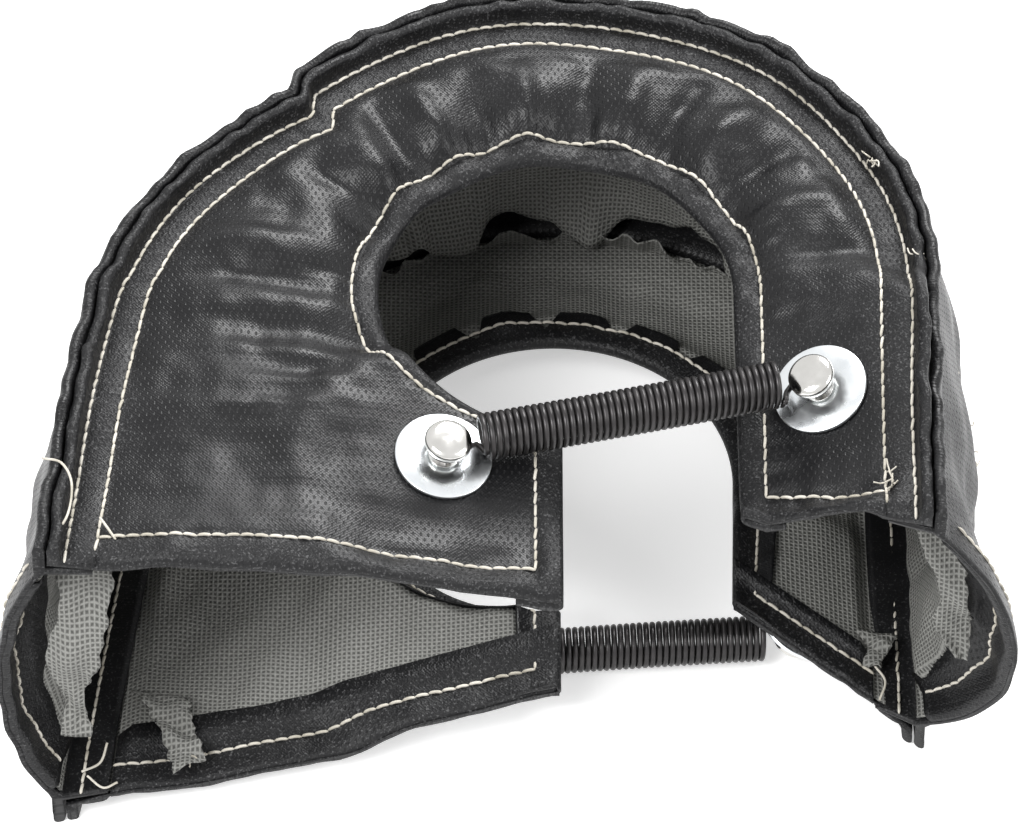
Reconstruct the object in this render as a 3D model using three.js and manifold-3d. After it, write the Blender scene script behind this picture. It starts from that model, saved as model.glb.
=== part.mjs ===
// Heat blanket for a turbine housing: a sewn, padded horseshoe of coated cloth.
// Two face panels are joined by an outer band. The central hole, the slot between
// the legs and both leg ends stay open, and two springs draw the legs together.
// Millimetres. X runs across the legs, +Y to the closed back, +Z up. The outlines
// are drawn round the hole's centre, and the finished part is then set with its
// lowest point at Z 0 and the middle of its plan at X 0, Y 0.
import * as THREE from 'three';
import { mergeVertices } from 'three/addons/utils/BufferGeometryUtils.js';
import ManifoldModule from 'manifold-3d';

const wasm = await ManifoldModule();
wasm.setup();

const { lerp, clamp, smoothstep, degToRad } = THREE.MathUtils;

// Plan of the horseshoe
const HOLE_RADIUS = 46;
const LOWER_HOLE_EXTRA = 2;
const SLOT_LEFT = 1.5;
const SLOT_WIDTH = 45;
const BACK_RADIUS = 99;
const STEP_ANGLE = 136.5;
const STEP_SPAN = 5;
const STEP_DEPTH = 5;
const LEFT_REACH = 118.5;
const LEFT_SPLAY = 12;
const LEFT_SPLAY_LENGTH = 94;
const LEFT_SPLAY_POWER = 0.6;
const SPLAY_LIMIT = 1.2;
const RIGHT_TAPER = 2;
const TURN_OUTER_Y = -50;

// Leg fronts: where each leg ends at its outer seam and at the slot
const UPPER_FRONTS = { leftOuter: -94, leftInner: -96.5, rightOuter: -82.5, rightInner: -66 };
const LOWER_FRONTS = { leftOuter: -101, leftInner: -73, rightOuter: -77.5, rightInner: -48 };

// Heights of the two faces at their outer seam, and the lips that stand beyond them
const LIP_HEIGHT = 5.6;
const LIP_SHOULDER = LIP_HEIGHT * 0.7;
const FACE_DISTANCE = 94.5;
const LOWER_LEVEL = LIP_HEIGHT;
const UPPER_LEVEL = LOWER_LEVEL + FACE_DISTANCE;
const SEAM_WAVE = 0.8;
const SEAM_WAVE_TURN = 1.7;

// Layers, each a depth below the face's outer surface
const CLOTH = 1.2;
const HEM_CLOTH = 1.0;
const LINER = 0.8;
const FELT = 3.0;
const LAYER_GAP = 0.5;
const FELT_GAP = 0.9;
const CLEARANCE = 0.3;
const THIN_LINER_TOP = CLOTH + LAYER_GAP;
const THIN_LINER_BOTTOM = THIN_LINER_TOP + LINER;
const FELT_TOP = CLOTH + FELT_GAP;
const FELT_BOTTOM = FELT_TOP + FELT;
const LINER_TOP = FELT_BOTTOM + LAYER_GAP;
const LINER_BOTTOM = LINER_TOP + LINER;
const HEM_TOP = THIN_LINER_BOTTOM + LAYER_GAP;
const HEM_BOTTOM = HEM_TOP + HEM_CLOTH;
const HEM_DEEP_TOP = LINER_BOTTOM + LAYER_GAP;
const HEM_DEEP_BOTTOM = HEM_DEEP_TOP + HEM_CLOTH;

// Seams, measured in from the outer seam line or back from a turned edge
const BAND_LIP = 3.3;
const BAND_LIP_START = 0.2;
const BAND_WALL_START = 0.4;
const FOOT_WIDTH = 1.2;
const PANEL_LIP_START = 3.8;
const PANEL_LIP_CREST = 5.3;
const PANEL_LIP_END = 6.9;
const ROW_ONE = 8;
const ROW_TWO = 15.5;
const FLANGE_END = 15;
const FLANGE_FILLET = 1;
const FILL_START = 20;
const FILL_SHARES = [0, 0.6, 1];
const LINER_START = 9;
const STITCH_INSET = 7;
const HEM_REACH = 12;
const EDGE_ROUND = 0.5;
const LEG_STITCH_INSET = 8;
const LEG_HEM_REACH = { left: 18, right: 13 };
const ROW_PRESS = 0.3;
const HEM_PRESS = 0.7;

// Soft shape of the faces: puff of the filling, fall to the hole, gathers at its edge
const UPPER_PUFF = 3.2;
const LOWER_PUFF = 2.2;
const GATHER_HEIGHT = 2.2;
const GATHER_COUNT = 15;
const GATHER_REACH = [0.1, 0.9];
const GATHER_DRIFT = 0.9;
const GATHER_DRIFT_COUNT = 3;
const HEM_SCALLOP = 0.8;
const HEM_SCALLOP_TURN = 2.3;

// Band: how far the wall bags out between the seams, from the left leg round to the right
const BAND_BAG = { leftEnd: 11, leftLeg: 8, leftSide: 6, back: 4, rightSide: 7, rightEnd: 21 };
const BAND_BUCKLE = 1.2;
const BAND_BUCKLE_TURN = 1.9;
const BAND_LEVELS = [0.88, 0.5, 0.12];
const BAG_ROUNDNESS = 2.2;
const RUFFLE_HEIGHT = 9;
const RUFFLE_FLARE = 5;
const RUFFLE_COUNT = 13;

// Notches in the lower face's turned hem, so that it lies flat round the hole
const NOTCH_COUNT = 6;
const NOTCH_FIRST = 30;
const NOTCH_LAST = 134;
const NOTCH_WIDTH = 9;
const NOTCH_POINT = 2;
const NOTCH_HEIGHT = 12;

// Lacing studs, washers and springs
const WASHER_RADIUS = 12.5;
const WASHER_THICKNESS = 1.2;
const WASHER_DISH_RADIUS = 6.6;
const WASHER_DISH = 0.15;
const BACK_WASHER_RADIUS = 5;
const BACK_WASHER_THICKNESS = 0.8;
const SHANK_RADIUS = 2;
const SHANK_CLEARANCE = 0.4;
const NECK_RADIUS = 3.2;
const NECK_HEIGHT = 5.4;
const HEAD_RADIUS = 6;
const HEAD_HEIGHT = 3.2;
const CLINCH_RADIUS = 3.2;
const CLINCH_HEIGHT = 1;
const CLINCH_FOOT = 2.4;
const HEAD_CROWN = 3.6;
const HEAD_SHARES = [0.5, 0.9];
const SPRING_RADIUS = 6.2;
const SPRING_WIRE_RADIUS = 0.8;
const SPRING_PITCH = 1.72;
const SPRING_START = 9;
const HOOK_CLEARANCE = 0.35;
const HOOK_REACH = 1.6;
const HOOK_TURN = [-40, 330];
const SPRING_LIFT = 0.8;
const SEAT_FLAT = 30;
const SEAT_FADE = 44;
const UPPER_LEFT_FROM_SLOT = 30.4;
const LOWER_LEFT_FROM_SLOT = 28;
const UPPER_RIGHT_SHARE = 0.4;
const LOWER_RIGHT_SHARE = 0.381;

// Across the right leg: share 0 at the slot, 1 at the outer seam.
function rightLegX(share) {
  return lerp(SLOT_LEFT + SLOT_WIDTH, BACK_RADIUS, share);
}

const SEATS = {
  upper_left: { x: SLOT_LEFT - UPPER_LEFT_FROM_SLOT, y: -57.5, z: 96.5, lean: [0.18, -0.12] },
  upper_right: { x: rightLegX(UPPER_RIGHT_SHARE), y: -34.3, z: 95.5, lean: [-0.36, -0.18] },
  lower_left: { x: SLOT_LEFT - LOWER_LEFT_FROM_SLOT, y: -52.5, z: 14, lean: [0.16, 0.02] },
  lower_right: { x: rightLegX(LOWER_RIGHT_SHARE), y: -45, z: 14, lean: [-0.34, -0.03] },
};

// Faces in each direction
const LEG_STEPS = 2;
const SHOULDER_STEPS = 4;
const SPIRAL_STEPS = 4;
const BACK_STEPS = 11;
const WASHER_SIDES = 16;
const BACK_WASHER_SIDES = 10;
const STUD_SIDES = 8;
const COIL_SIDES = 6;
const WIRE_SIDES = 3;
const HOOK_STEPS = 8;
const HOLE_SIDES = 6;
const CUTTER_LENGTH = 25;

const MATERIALS = {
  cloth: new THREE.MeshStandardMaterial({ color: 0x1d1d1f, roughness: 0.45, metalness: 0 }),
  liner: new THREE.MeshStandardMaterial({ color: 0x7d7e7a, roughness: 0.85, metalness: 0 }),
  felt: new THREE.MeshStandardMaterial({ color: 0xd9d2c0, roughness: 0.95, metalness: 0 }),
  zinc: new THREE.MeshStandardMaterial({ color: 0xc9cfd2, roughness: 0.3, metalness: 1 }),
  nickel: new THREE.MeshStandardMaterial({ color: 0xd8d8d6, roughness: 0.15, metalness: 1 }),
  spring: new THREE.MeshStandardMaterial({ color: 0x3b3637, roughness: 0.4, metalness: 0.9 }),
};

// Plan outlines

// The left side splays out as it runs forward from the hole's centre line.
function leftSideX(y) {
  const run = clamp(-y / LEFT_SPLAY_LENGTH, 0, SPLAY_LIMIT);
  return -(LEFT_REACH + LEFT_SPLAY * run ** LEFT_SPLAY_POWER);
}

// Outer radius at an angle from 0 (right) to 180 (left): an arc, a step in, a spiral out.
function outerRadius(angle) {
  const stepEnd = STEP_ANGLE + STEP_SPAN / 2;
  const stepStart = STEP_ANGLE - STEP_SPAN / 2;
  if (angle <= stepStart) {
    return BACK_RADIUS;
  }
  if (angle <= stepEnd) {
    return BACK_RADIUS - STEP_DEPTH * smoothstep(angle, stepStart, stepEnd);
  }
  const run = (angle - stepEnd) / (180 - stepEnd);
  return lerp(BACK_RADIUS - STEP_DEPTH, LEFT_REACH, run);
}

function polar(radius, angle) {
  const turn = degToRad(angle);
  return new THREE.Vector2(radius * Math.cos(turn), radius * Math.sin(turn));
}

// A station is one line across the fabric, from the outer seam in to the hole or slot.
function station(outer, inner, angle) {
  const across = inner.clone().sub(outer);
  return { outer, inner, angle, length: across.length(), inward: across.normalize() };
}

// Positions along a leg's edge: the end, its stitch line, its hem, then even steps.
function legPositions(front, turn, reach) {
  const ahead = Math.sign(turn - front);
  const positions = [front, front + ahead * LEG_STITCH_INSET];
  const first = front + ahead * reach;
  for (let k = 0; k < LEG_STEPS; k += 1) {
    positions.push(lerp(first, turn, k / LEG_STEPS));
  }
  return positions;
}

function planStations(fronts, holeRadius) {
  const list = [];
  const slotTurnY = -Math.sqrt(holeRadius ** 2 - SLOT_LEFT ** 2);
  const leftOuter = legPositions(fronts.leftOuter, TURN_OUTER_Y, LEG_HEM_REACH.left);
  const leftInner = legPositions(fronts.leftInner, slotTurnY, LEG_HEM_REACH.left);
  leftOuter.forEach((y, k) => {
    const outer = new THREE.Vector2(leftSideX(y), y);
    list.push(station(outer, new THREE.Vector2(SLOT_LEFT, leftInner[k]), 270));
  });
  const turnAngle = 360 - Math.acos(SLOT_LEFT / holeRadius) * THREE.MathUtils.RAD2DEG;
  for (let k = 0; k < SHOULDER_STEPS; k += 1) {
    const angle = lerp(turnAngle, 180, k / SHOULDER_STEPS);
    const y = lerp(TURN_OUTER_Y, 0, k / SHOULDER_STEPS);
    list.push(station(new THREE.Vector2(leftSideX(y), y), polar(holeRadius, angle), angle));
  }
  const around = (angle) => list.push(
    station(polar(outerRadius(angle), angle), polar(holeRadius, angle), angle),
  );
  for (let k = 0; k <= SPIRAL_STEPS; k += 1) {
    around(lerp(180, STEP_ANGLE + STEP_SPAN / 2, k / SPIRAL_STEPS));
  }
  for (let k = 0; k < BACK_STEPS; k += 1) {
    around(lerp(STEP_ANGLE - STEP_SPAN / 2, 0, k / BACK_STEPS));
  }
  const rightOuter = legPositions(fronts.rightOuter, 0, LEG_HEM_REACH.right);
  const rightInner = legPositions(fronts.rightInner, 0, LEG_HEM_REACH.right);
  const right = rightOuter.map((y, k) => {
    const run = y / fronts.rightOuter;
    const outer = new THREE.Vector2(BACK_RADIUS - RIGHT_TAPER * run, y);
    const innerX = lerp(holeRadius, SLOT_LEFT + SLOT_WIDTH, rightInner[k] / fronts.rightInner);
    return station(outer, new THREE.Vector2(innerX, rightInner[k]), 0);
  });
  right.push(station(new THREE.Vector2(BACK_RADIUS, 0), new THREE.Vector2(holeRadius, 0), 0));
  return list.concat(right.reverse());
}

// How far along the leg a station lies: 0 at the turn into the arc, 1 at the leg's end.
function legRun(stations, index) {
  const legCount = LEG_STEPS + 2;
  const last = stations.length - 1;
  const fromLeft = clamp((legCount - index) / legCount, 0, 1);
  const fromRight = clamp((index - (last - legCount)) / legCount, 0, 1);
  return { left: fromLeft, right: fromRight };
}

// Face panels

function seatNormal(seat, side) {
  const [x, y] = seat.lean;
  return new THREE.Vector3(x, y, side * Math.sqrt(1 - x * x - y * y));
}

function seatWeight(away) {
  return 1 - smoothstep(away, SEAT_FLAT, SEAT_FADE);
}

function seatPlane(seat, side, x, y) {
  const normal = seatNormal(seat, side);
  return seat.z - (normal.x * (x - seat.x) + normal.y * (y - seat.y)) / normal.z;
}

// Gathers stand up round the hole, strongest at the hem stitch, and die out on the legs.
function gather(panel, index, across) {
  const line = panel.stations[index];
  const { angle } = line;
  const run = legRun(panel.stations, index);
  const share = (across - ROW_TWO) / (line.length - STITCH_INSET - ROW_TWO);
  let reach = smoothstep(share, ...GATHER_REACH) * (1 - Math.max(run.left, run.right));
  for (const seat of panel.seats) {
    const x = line.outer.x + line.inward.x * across;
    const y = line.outer.y + line.inward.y * across;
    reach *= 1 - seatWeight(Math.hypot(x - seat.x, y - seat.y));
  }
  const drift = GATHER_DRIFT * Math.sin(degToRad(GATHER_DRIFT_COUNT * angle));
  const wave = Math.cos(degToRad(GATHER_COUNT * angle) + drift);
  return GATHER_HEIGHT * reach * (0.5 + 0.5 * wave);
}

// Height of the panel's base surface at one station and distance in from the seam.
function baseHeight(panel, index, across) {
  const line = panel.stations[index];
  const { side, level } = panel;
  const seam = level + (side > 0 ? SEAM_WAVE * Math.sin(index * SEAM_WAVE_TURN) : 0);
  if (across <= ROW_TWO) {
    return seam - side * (across >= ROW_ONE ? ROW_PRESS : 0);
  }
  const share = clamp((across - ROW_TWO) / (line.length - STITCH_INSET - ROW_TWO), 0, 1);
  const run = legRun(panel.stations, index);
  const fall = lerp(lerp(panel.fall.arc, panel.fall.left, run.left), panel.fall.right, run.right);
  const puff = panel.puff * (1 - Math.abs(2 * share - 1) ** 3);
  const scallop = across > line.length - 1 ? HEM_SCALLOP * Math.sin(index * HEM_SCALLOP_TURN) : 0;
  let height = seam + side * (puff - fall * share ** 2 + scallop);
  const x = line.outer.x + line.inward.x * across;
  const y = line.outer.y + line.inward.y * across;
  for (const seat of panel.seats) {
    const away = Math.hypot(x - seat.x, y - seat.y);
    height = lerp(height, seatPlane(seat, side, x, y), seatWeight(away));
  }
  return height;
}

// Distances in from the seam at which every layer of a panel bends.
function knots(line) {
  const fill = fillLines(line);
  return [0, PANEL_LIP_END, ROW_ONE, ROW_TWO, ...fill, line.length - STITCH_INSET, line.length];
}

// The base surface runs straight between the knots, so all layers lie parallel.
function surfaceHeight(panel, index, across) {
  const list = knots(panel.stations[index]);
  const reach = clamp(across, 0, list[list.length - 1]);
  const next = Math.max(1, list.findIndex((knot) => knot >= reach));
  const [from, to] = [list[next - 1], list[next]];
  const share = (reach - from) / (to - from);
  return lerp(baseHeight(panel, index, from), baseHeight(panel, index, to), share);
}

// A point of the panel: its station, distance in from the seam and depth below the face.
function panelPoint(panel, index, across, depth) {
  const line = panel.stations[index];
  const height = surfaceHeight(panel, index, across) - panel.side * depth;
  return {
    flat: [across, height],
    point: new THREE.Vector3(
      line.outer.x + line.inward.x * across,
      line.outer.y + line.inward.y * across,
      height,
    ),
  };
}

// Lines that every layer of a panel shares between the seam and the hem.
function fillLines(line) {
  const end = line.length - HEM_REACH;
  return FILL_SHARES.map((share) => lerp(FILL_START, end, share));
}

// The filling stops short of the leg ends, so the layers close up there.
function isFilled(panel, index) {
  return index > 1 && index < panel.stations.length - 2;
}

// Closed section of the outer cloth: lip, face, and the hem turned in round the hole.
function clothSection(panel, index) {
  const line = panel.stations[index];
  const at = (across, depth) => panelPoint(panel, index, across, depth);
  const lines = fillLines(line);
  const stitch = line.length - STITCH_INSET;
  const deep = line.length - HEM_REACH;
  const filled = isFilled(panel, index);
  const outside = [
    at(PANEL_LIP_START, CLOTH),
    at(PANEL_LIP_START, -LIP_SHOULDER),
    at(PANEL_LIP_CREST, -LIP_HEIGHT),
    at(PANEL_LIP_END, -LIP_SHOULDER),
    at(ROW_ONE, 0),
    at(ROW_TWO, 0),
    ...lines.map((across) => at(across, -gather(panel, index, across))),
    at(stitch, HEM_PRESS - gather(panel, index, stitch)),
    at(line.length, EDGE_ROUND),
    at(line.length, HEM_BOTTOM - EDGE_ROUND),
    at(stitch, HEM_BOTTOM),
    at(deep, filled ? HEM_DEEP_BOTTOM : HEM_BOTTOM),
  ];
  const inside = [
    at(deep, filled ? HEM_DEEP_TOP : HEM_TOP),
    at(stitch, HEM_TOP),
    at(line.length - HEM_CLOTH, HEM_TOP),
    at(line.length - HEM_CLOTH, CLOTH),
    at(stitch, CLOTH),
    ...lines.slice().reverse().map((across) => at(across, CLOTH)),
    at(ROW_TWO, CLOTH),
  ];
  return { outside, inside };
}

// Section of the woven liner, caught under the seam flange and inside the hem.
function linerSection(panel, index) {
  const line = panel.stations[index];
  const filled = isFilled(panel, index);
  const stitch = line.length - STITCH_INSET;
  const end = line.length - HEM_CLOTH - CLEARANCE * 2;
  const lines = fillLines(line);
  const layer = (thin, full) => [
    panelPoint(panel, index, LINER_START, thin),
    panelPoint(panel, index, ROW_TWO, thin),
    ...lines.map((across) => panelPoint(panel, index, across, filled ? full : thin)),
    panelPoint(panel, index, stitch, thin),
    panelPoint(panel, index, end, thin),
  ];
  return {
    outside: layer(THIN_LINER_TOP, LINER_TOP),
    inside: layer(THIN_LINER_BOTTOM, LINER_BOTTOM).reverse(),
  };
}

// A leg-end section moved in from the end, so that it stops short of the hem's web.
function endSections(sections) {
  const share = (HEM_CLOTH + 2 * CLEARANCE) / LEG_STITCH_INSET;
  const blend = (from, to) => from.map(({ flat, point }, k) => ({
    flat,
    point: point.clone().lerp(to[k].point, share),
  }));
  const moved = (from, to) => ({
    outside: blend(from.outside, to.outside),
    inside: blend(from.inside, to.inside),
  });
  const last = sections.length - 1;
  return sections.map((section, index) => {
    if (index === 0) {
      return moved(section, sections[1]);
    }
    return index === last ? moved(section, sections[last - 1]) : section;
  });
}

// Section of the insulating felt, cut to stop short of the seam and of the hem.
function feltSection(panel, index) {
  const lines = fillLines(panel.stations[index]);
  return {
    outside: lines.map((across) => panelPoint(panel, index, across, FELT_TOP)),
    inside: lines.reverse().map((across) => panelPoint(panel, index, across, FELT_BOTTOM)),
  };
}

// Strip turned in at a leg's end: a web at the end and a leg under the liner.
function legHem(panel, atRight) {
  const last = panel.stations.length - 1;
  const ends = atRight ? [last, last - 1, last - 2] : [0, 1, 2];
  const hemReach = atRight ? LEG_HEM_REACH.right : LEG_HEM_REACH.left;
  const reaches = ends.map((index) => {
    const line = panel.stations[index];
    return [
      FLANGE_END + CLEARANCE * 2,
      ...fillLines(line),
      line.length - STITCH_INSET,
      line.length - EDGE_ROUND,
    ];
  });
  const rings = reaches[0].map((_, m) => {
    const at = (k, depth) => panelPoint(panel, ends[k], reaches[k][m], depth).point;
    const web = HEM_CLOTH / LEG_STITCH_INSET;
    const flatAt = (inset, depth) => [inset, -panel.side * depth];
    const inner = (depth) => at(0, depth).lerp(at(1, depth), web);
    return [
      { flat: flatAt(0, EDGE_ROUND), point: at(0, EDGE_ROUND) },
      { flat: flatAt(0, HEM_BOTTOM), point: at(0, HEM_BOTTOM) },
      { flat: flatAt(LEG_STITCH_INSET, HEM_BOTTOM), point: at(1, HEM_BOTTOM) },
      { flat: flatAt(hemReach, HEM_DEEP_BOTTOM), point: at(2, HEM_DEEP_BOTTOM) },
      { flat: flatAt(hemReach, HEM_DEEP_TOP), point: at(2, HEM_DEEP_TOP) },
      { flat: flatAt(LEG_STITCH_INSET, HEM_TOP), point: at(1, HEM_TOP) },
      { flat: flatAt(HEM_CLOTH, HEM_TOP), point: inner(HEM_TOP) },
      { flat: flatAt(HEM_CLOTH, EDGE_ROUND), point: inner(EDGE_ROUND) },
    ];
  });
  return loft(atRight ? rings.reverse() : rings);
}

// Band

// How far the wall bags out at a station, at mid height.
function bagDepth(stations, index) {
  const run = legRun(stations, index);
  const { angle } = stations[index];
  let depth = BAND_BAG.back;
  if (run.left > 0) {
    depth = lerp(BAND_BAG.leftLeg, BAND_BAG.leftEnd, run.left);
  } else if (run.right > 0) {
    depth = lerp(BAND_BAG.rightSide, BAND_BAG.rightEnd, run.right);
  } else if (angle > 90) {
    depth = lerp(BAND_BAG.back, BAND_BAG.leftSide, clamp((angle - 90) / 90, 0, 1));
  } else {
    depth = lerp(BAND_BAG.rightSide, BAND_BAG.back, angle / 90);
  }
  return depth + BAND_BUCKLE * Math.sin(index * BAND_BUCKLE_TURN);
}

// A point of the band: its height runs between the two seams, across is inward.
function bandPoint(band, index, across, height) {
  const up = band.upper.stations[index];
  const low = band.lower.stations[index];
  const rise = clamp((height - LOWER_LEVEL) / FACE_DISTANCE, 0, 1);
  const outer = low.outer.clone().lerp(up.outer, rise);
  const inward = low.inward.clone().lerp(up.inward, rise).normalize();
  return {
    flat: [across, height],
    point: new THREE.Vector3(
      outer.x + inward.x * across,
      outer.y + inward.y * across,
      height,
    ),
  };
}

// Wall points at chosen levels, a depth inside the wall's outer surface.
function wallPoints(band, index, levels, depth) {
  const bag = bagDepth(band.upper.stations, index);
  return levels.map((level) => {
    const out = bag * (1 - Math.abs(2 * level - 1) ** BAG_ROUNDNESS);
    return bandPoint(band, index, depth - out, LOWER_LEVEL + FACE_DISTANCE * level);
  });
}

// Closed section of the band's cloth: flange, lip, wall, lip, flange.
function bandClothSection(band, index) {
  const top = surfaceHeight(band.upper, index, 0);
  const low = LOWER_LEVEL;
  const at = (across, height) => bandPoint(band, index, across, height);
  const root = BAND_LIP - BAND_LIP_START;
  const liningStart = CLOTH + LAYER_GAP;
  const flangeTop = HEM_TOP + ROW_PRESS;
  const flangeBottom = HEM_BOTTOM + ROW_PRESS;
  const outside = [
    at(FLANGE_END, top - flangeTop),
    at(root, top - flangeTop),
    at(BAND_LIP, top + LIP_SHOULDER),
    at(BAND_LIP / 2, top + LIP_HEIGHT),
    at(BAND_LIP_START, top + LIP_SHOULDER),
    at(BAND_WALL_START, top - LIP_HEIGHT),
    ...wallPoints(band, index, BAND_LEVELS, 0),
    at(BAND_WALL_START, low + LIP_HEIGHT),
    at(BAND_LIP_START, low - LIP_SHOULDER),
    at(BAND_LIP / 2 - FOOT_WIDTH / 2, low - LIP_HEIGHT),
    at(BAND_LIP / 2 + FOOT_WIDTH / 2, low - LIP_HEIGHT),
    at(BAND_LIP, low - LIP_SHOULDER),
    at(root, low + flangeTop),
    at(FLANGE_END, low + flangeTop),
  ];
  const inside = [
    at(FLANGE_END, low + flangeBottom),
    at(liningStart, low + flangeBottom + FLANGE_FILLET),
    ...wallPoints(band, index, BAND_LEVELS.slice().reverse(), CLOTH),
    at(liningStart, top - flangeBottom - FLANGE_FILLET),
    at(FLANGE_END, top - flangeBottom),
  ];
  return { outside, inside };
}

function bandFeltSection(band, index) {
  return {
    outside: wallPoints(band, index, BAND_LEVELS, FELT_TOP),
    inside: wallPoints(band, index, BAND_LEVELS.slice().reverse(), FELT_BOTTOM),
  };
}

// The liner's lower edge is raw: it stands off the wall in ruffles round the back.
function bandLinerSection(band, index) {
  const filled = isFilled(band.upper, index);
  const { angle } = band.upper.stations[index];
  const run = legRun(band.upper.stations, index);
  const loose = run.left > 0 || run.right > 0 ? 0 : Math.max(0, Math.sin(degToRad(angle)));
  const wave = 0.5 + 0.5 * Math.cos(degToRad(RUFFLE_COUNT * angle));
  const flange = HEM_BOTTOM + ROW_PRESS + FLANGE_FILLET;
  const edge = LOWER_LEVEL + flange + RUFFLE_HEIGHT * loose * (1 - wave);
  const top = surfaceHeight(band.upper, index, 0) - flange;
  const side = (depth) => [
    bandPoint(band, index, depth + LAYER_GAP, top),
    ...wallPoints(band, index, BAND_LEVELS, depth),
    bandPoint(band, index, depth + LAYER_GAP + RUFFLE_FLARE * loose * wave, edge),
  ];
  return {
    outside: side(filled ? LINER_TOP : THIN_LINER_TOP),
    inside: side(filled ? LINER_BOTTOM : THIN_LINER_BOTTOM).reverse(),
  };
}

// Strip turned in at the band's end, with its web across the end of the wall.
function bandHem(band, atRight) {
  const last = band.upper.stations.length - 1;
  const ends = atRight ? [last, last - 1, last - 2] : [0, 1, 2];
  const hemReach = atRight ? LEG_HEM_REACH.right : LEG_HEM_REACH.left;
  const web = HEM_CLOTH / LEG_STITCH_INSET;
  const levels = BAND_LEVELS;
  const rings = levels.map((level) => {
    const at = (k, depth) => wallPoints(band, ends[k], [level], depth)[0].point;
    const inner = (depth) => at(0, depth).lerp(at(1, depth), web);
    return [
      { flat: [0, EDGE_ROUND], point: at(0, EDGE_ROUND) },
      { flat: [0, HEM_BOTTOM], point: at(0, HEM_BOTTOM) },
      { flat: [LEG_STITCH_INSET, HEM_BOTTOM], point: at(1, HEM_BOTTOM) },
      { flat: [hemReach, HEM_DEEP_BOTTOM], point: at(2, HEM_DEEP_BOTTOM) },
      { flat: [hemReach, HEM_DEEP_TOP], point: at(2, HEM_DEEP_TOP) },
      { flat: [LEG_STITCH_INSET, HEM_TOP], point: at(1, HEM_TOP) },
      { flat: [HEM_CLOTH, HEM_TOP], point: inner(HEM_TOP) },
      { flat: [HEM_CLOTH, EDGE_ROUND], point: inner(EDGE_ROUND) },
    ];
  });
  return loft(atRight ? rings.reverse() : rings);
}

// Lofts, sweeps and solids

// Caps are triangulated on slightly nudged points, so that points in line all count.
const CAP_NUDGE = 1e-3;

// Skin a row of closed rings. Each quad splits along the way its ring runs there, so
// that both sides of a sheet, and the layers under it, bend alike.
const runsInward = (from, to) => to.flat[0] >= from.flat[0];
const runsDown = (from, to) => to.flat[1] <= from.flat[1];

function loft(rings, runsForward = runsInward) {
  const count = rings[0].length;
  const positions = rings.flatMap((ring) => ring.flatMap(({ point }) => point.toArray()));
  const faces = [];
  for (let j = 0; j + 1 < rings.length; j += 1) {
    for (let k = 0; k < count; k += 1) {
      const a = j * count + k;
      const b = j * count + ((k + 1) % count);
      const c = b + count;
      const d = a + count;
      const forward = runsForward(rings[j][k], rings[j][(k + 1) % count]);
      faces.push(...(forward ? [a, b, c, a, c, d] : [a, b, d, b, c, d]));
    }
  }
  const cap = (ring, offset, reverse) => {
    const contour = ring.map(({ flat: [x, y] }, k) => new THREE.Vector2(
      x + CAP_NUDGE * Math.sin(7 * k),
      y + CAP_NUDGE * Math.cos(5 * k),
    ));
    const sense = Math.sign(THREE.ShapeUtils.area(contour));
    for (const [a, b, c] of THREE.ShapeUtils.triangulateShape(contour, [])) {
      const area = THREE.ShapeUtils.area([contour[a], contour[b], contour[c]]);
      const forward = (Math.sign(area) === sense) !== reverse;
      faces.push(...(forward ? [a, b, c] : [a, c, b]).map((index) => index + offset));
    }
  };
  cap(rings[0], 0, true);
  cap(rings[rings.length - 1], (rings.length - 1) * count, false);
  return outward(positions, faces);
}

// A geometry whose faces point out, turned round if its signed volume is negative.
function outward(positions, faces) {
  const corner = (index) => new THREE.Vector3().fromArray(positions, index * 3);
  let volume = 0;
  for (let k = 0; k < faces.length; k += 3) {
    const [a, b, c] = [corner(faces[k]), corner(faces[k + 1]), corner(faces[k + 2])];
    volume += a.dot(b.cross(c));
  }
  if (volume < 0) {
    faces.reverse();
  }
  const geometry = new THREE.BufferGeometry();
  geometry.setAttribute('position', new THREE.Float32BufferAttribute(positions, 3));
  geometry.setIndex(faces);
  return geometry;
}

function loftSections(sections, runsForward = runsInward) {
  return loft(sections.map(({ outside, inside }) => outside.concat(inside)), runsForward);
}

// Sweep a regular polygon along a list of points, carrying its frame from step to step.
function sweep(points, radius, sides) {
  const rings = [];
  let normal = null;
  points.forEach((point, index) => {
    const before = points[Math.max(index - 1, 0)];
    const after = points[Math.min(index + 1, points.length - 1)];
    const tangent = after.clone().sub(before).normalize();
    if (normal === null) {
      normal = new THREE.Vector3(0, 0, 1);
    }
    normal = normal.clone().addScaledVector(tangent, -normal.dot(tangent)).normalize();
    const binormal = tangent.clone().cross(normal);
    const ring = [];
    for (let k = 0; k < sides; k += 1) {
      const turn = (2 * Math.PI * k) / sides;
      const flat = [radius * Math.cos(turn), radius * Math.sin(turn)];
      ring.push({
        flat,
        point: point.clone().addScaledVector(normal, flat[0]).addScaledVector(binormal, flat[1]),
      });
    }
    rings.push(ring);
  });
  return loft(rings);
}

function toSolid(geometry) {
  const plain = geometry.clone();
  plain.deleteAttribute('normal');
  plain.deleteAttribute('uv');
  const merged = mergeVertices(plain, 1e-4);
  const vertProperties = new Float32Array(merged.attributes.position.array);
  const triVerts = new Uint32Array(merged.index.array);
  return new wasm.Manifold(new wasm.Mesh({ numProp: 3, vertProperties, triVerts }));
}

function toGeometry(solid) {
  const { vertProperties, triVerts, numProp } = solid.getMesh();
  const geometry = new THREE.BufferGeometry();
  geometry.setAttribute('position', new THREE.BufferAttribute(vertProperties, numProp));
  geometry.setIndex(new THREE.BufferAttribute(triVerts, 1));
  return geometry;
}

// Where two folds of one sheet are joined, the slivers shut in between them are dropped.
function mainBody(solid) {
  const bodies = solid.decompose();
  return bodies.reduce((best, body) => (body.volume() > best.volume() ? body : best));
}

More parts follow.
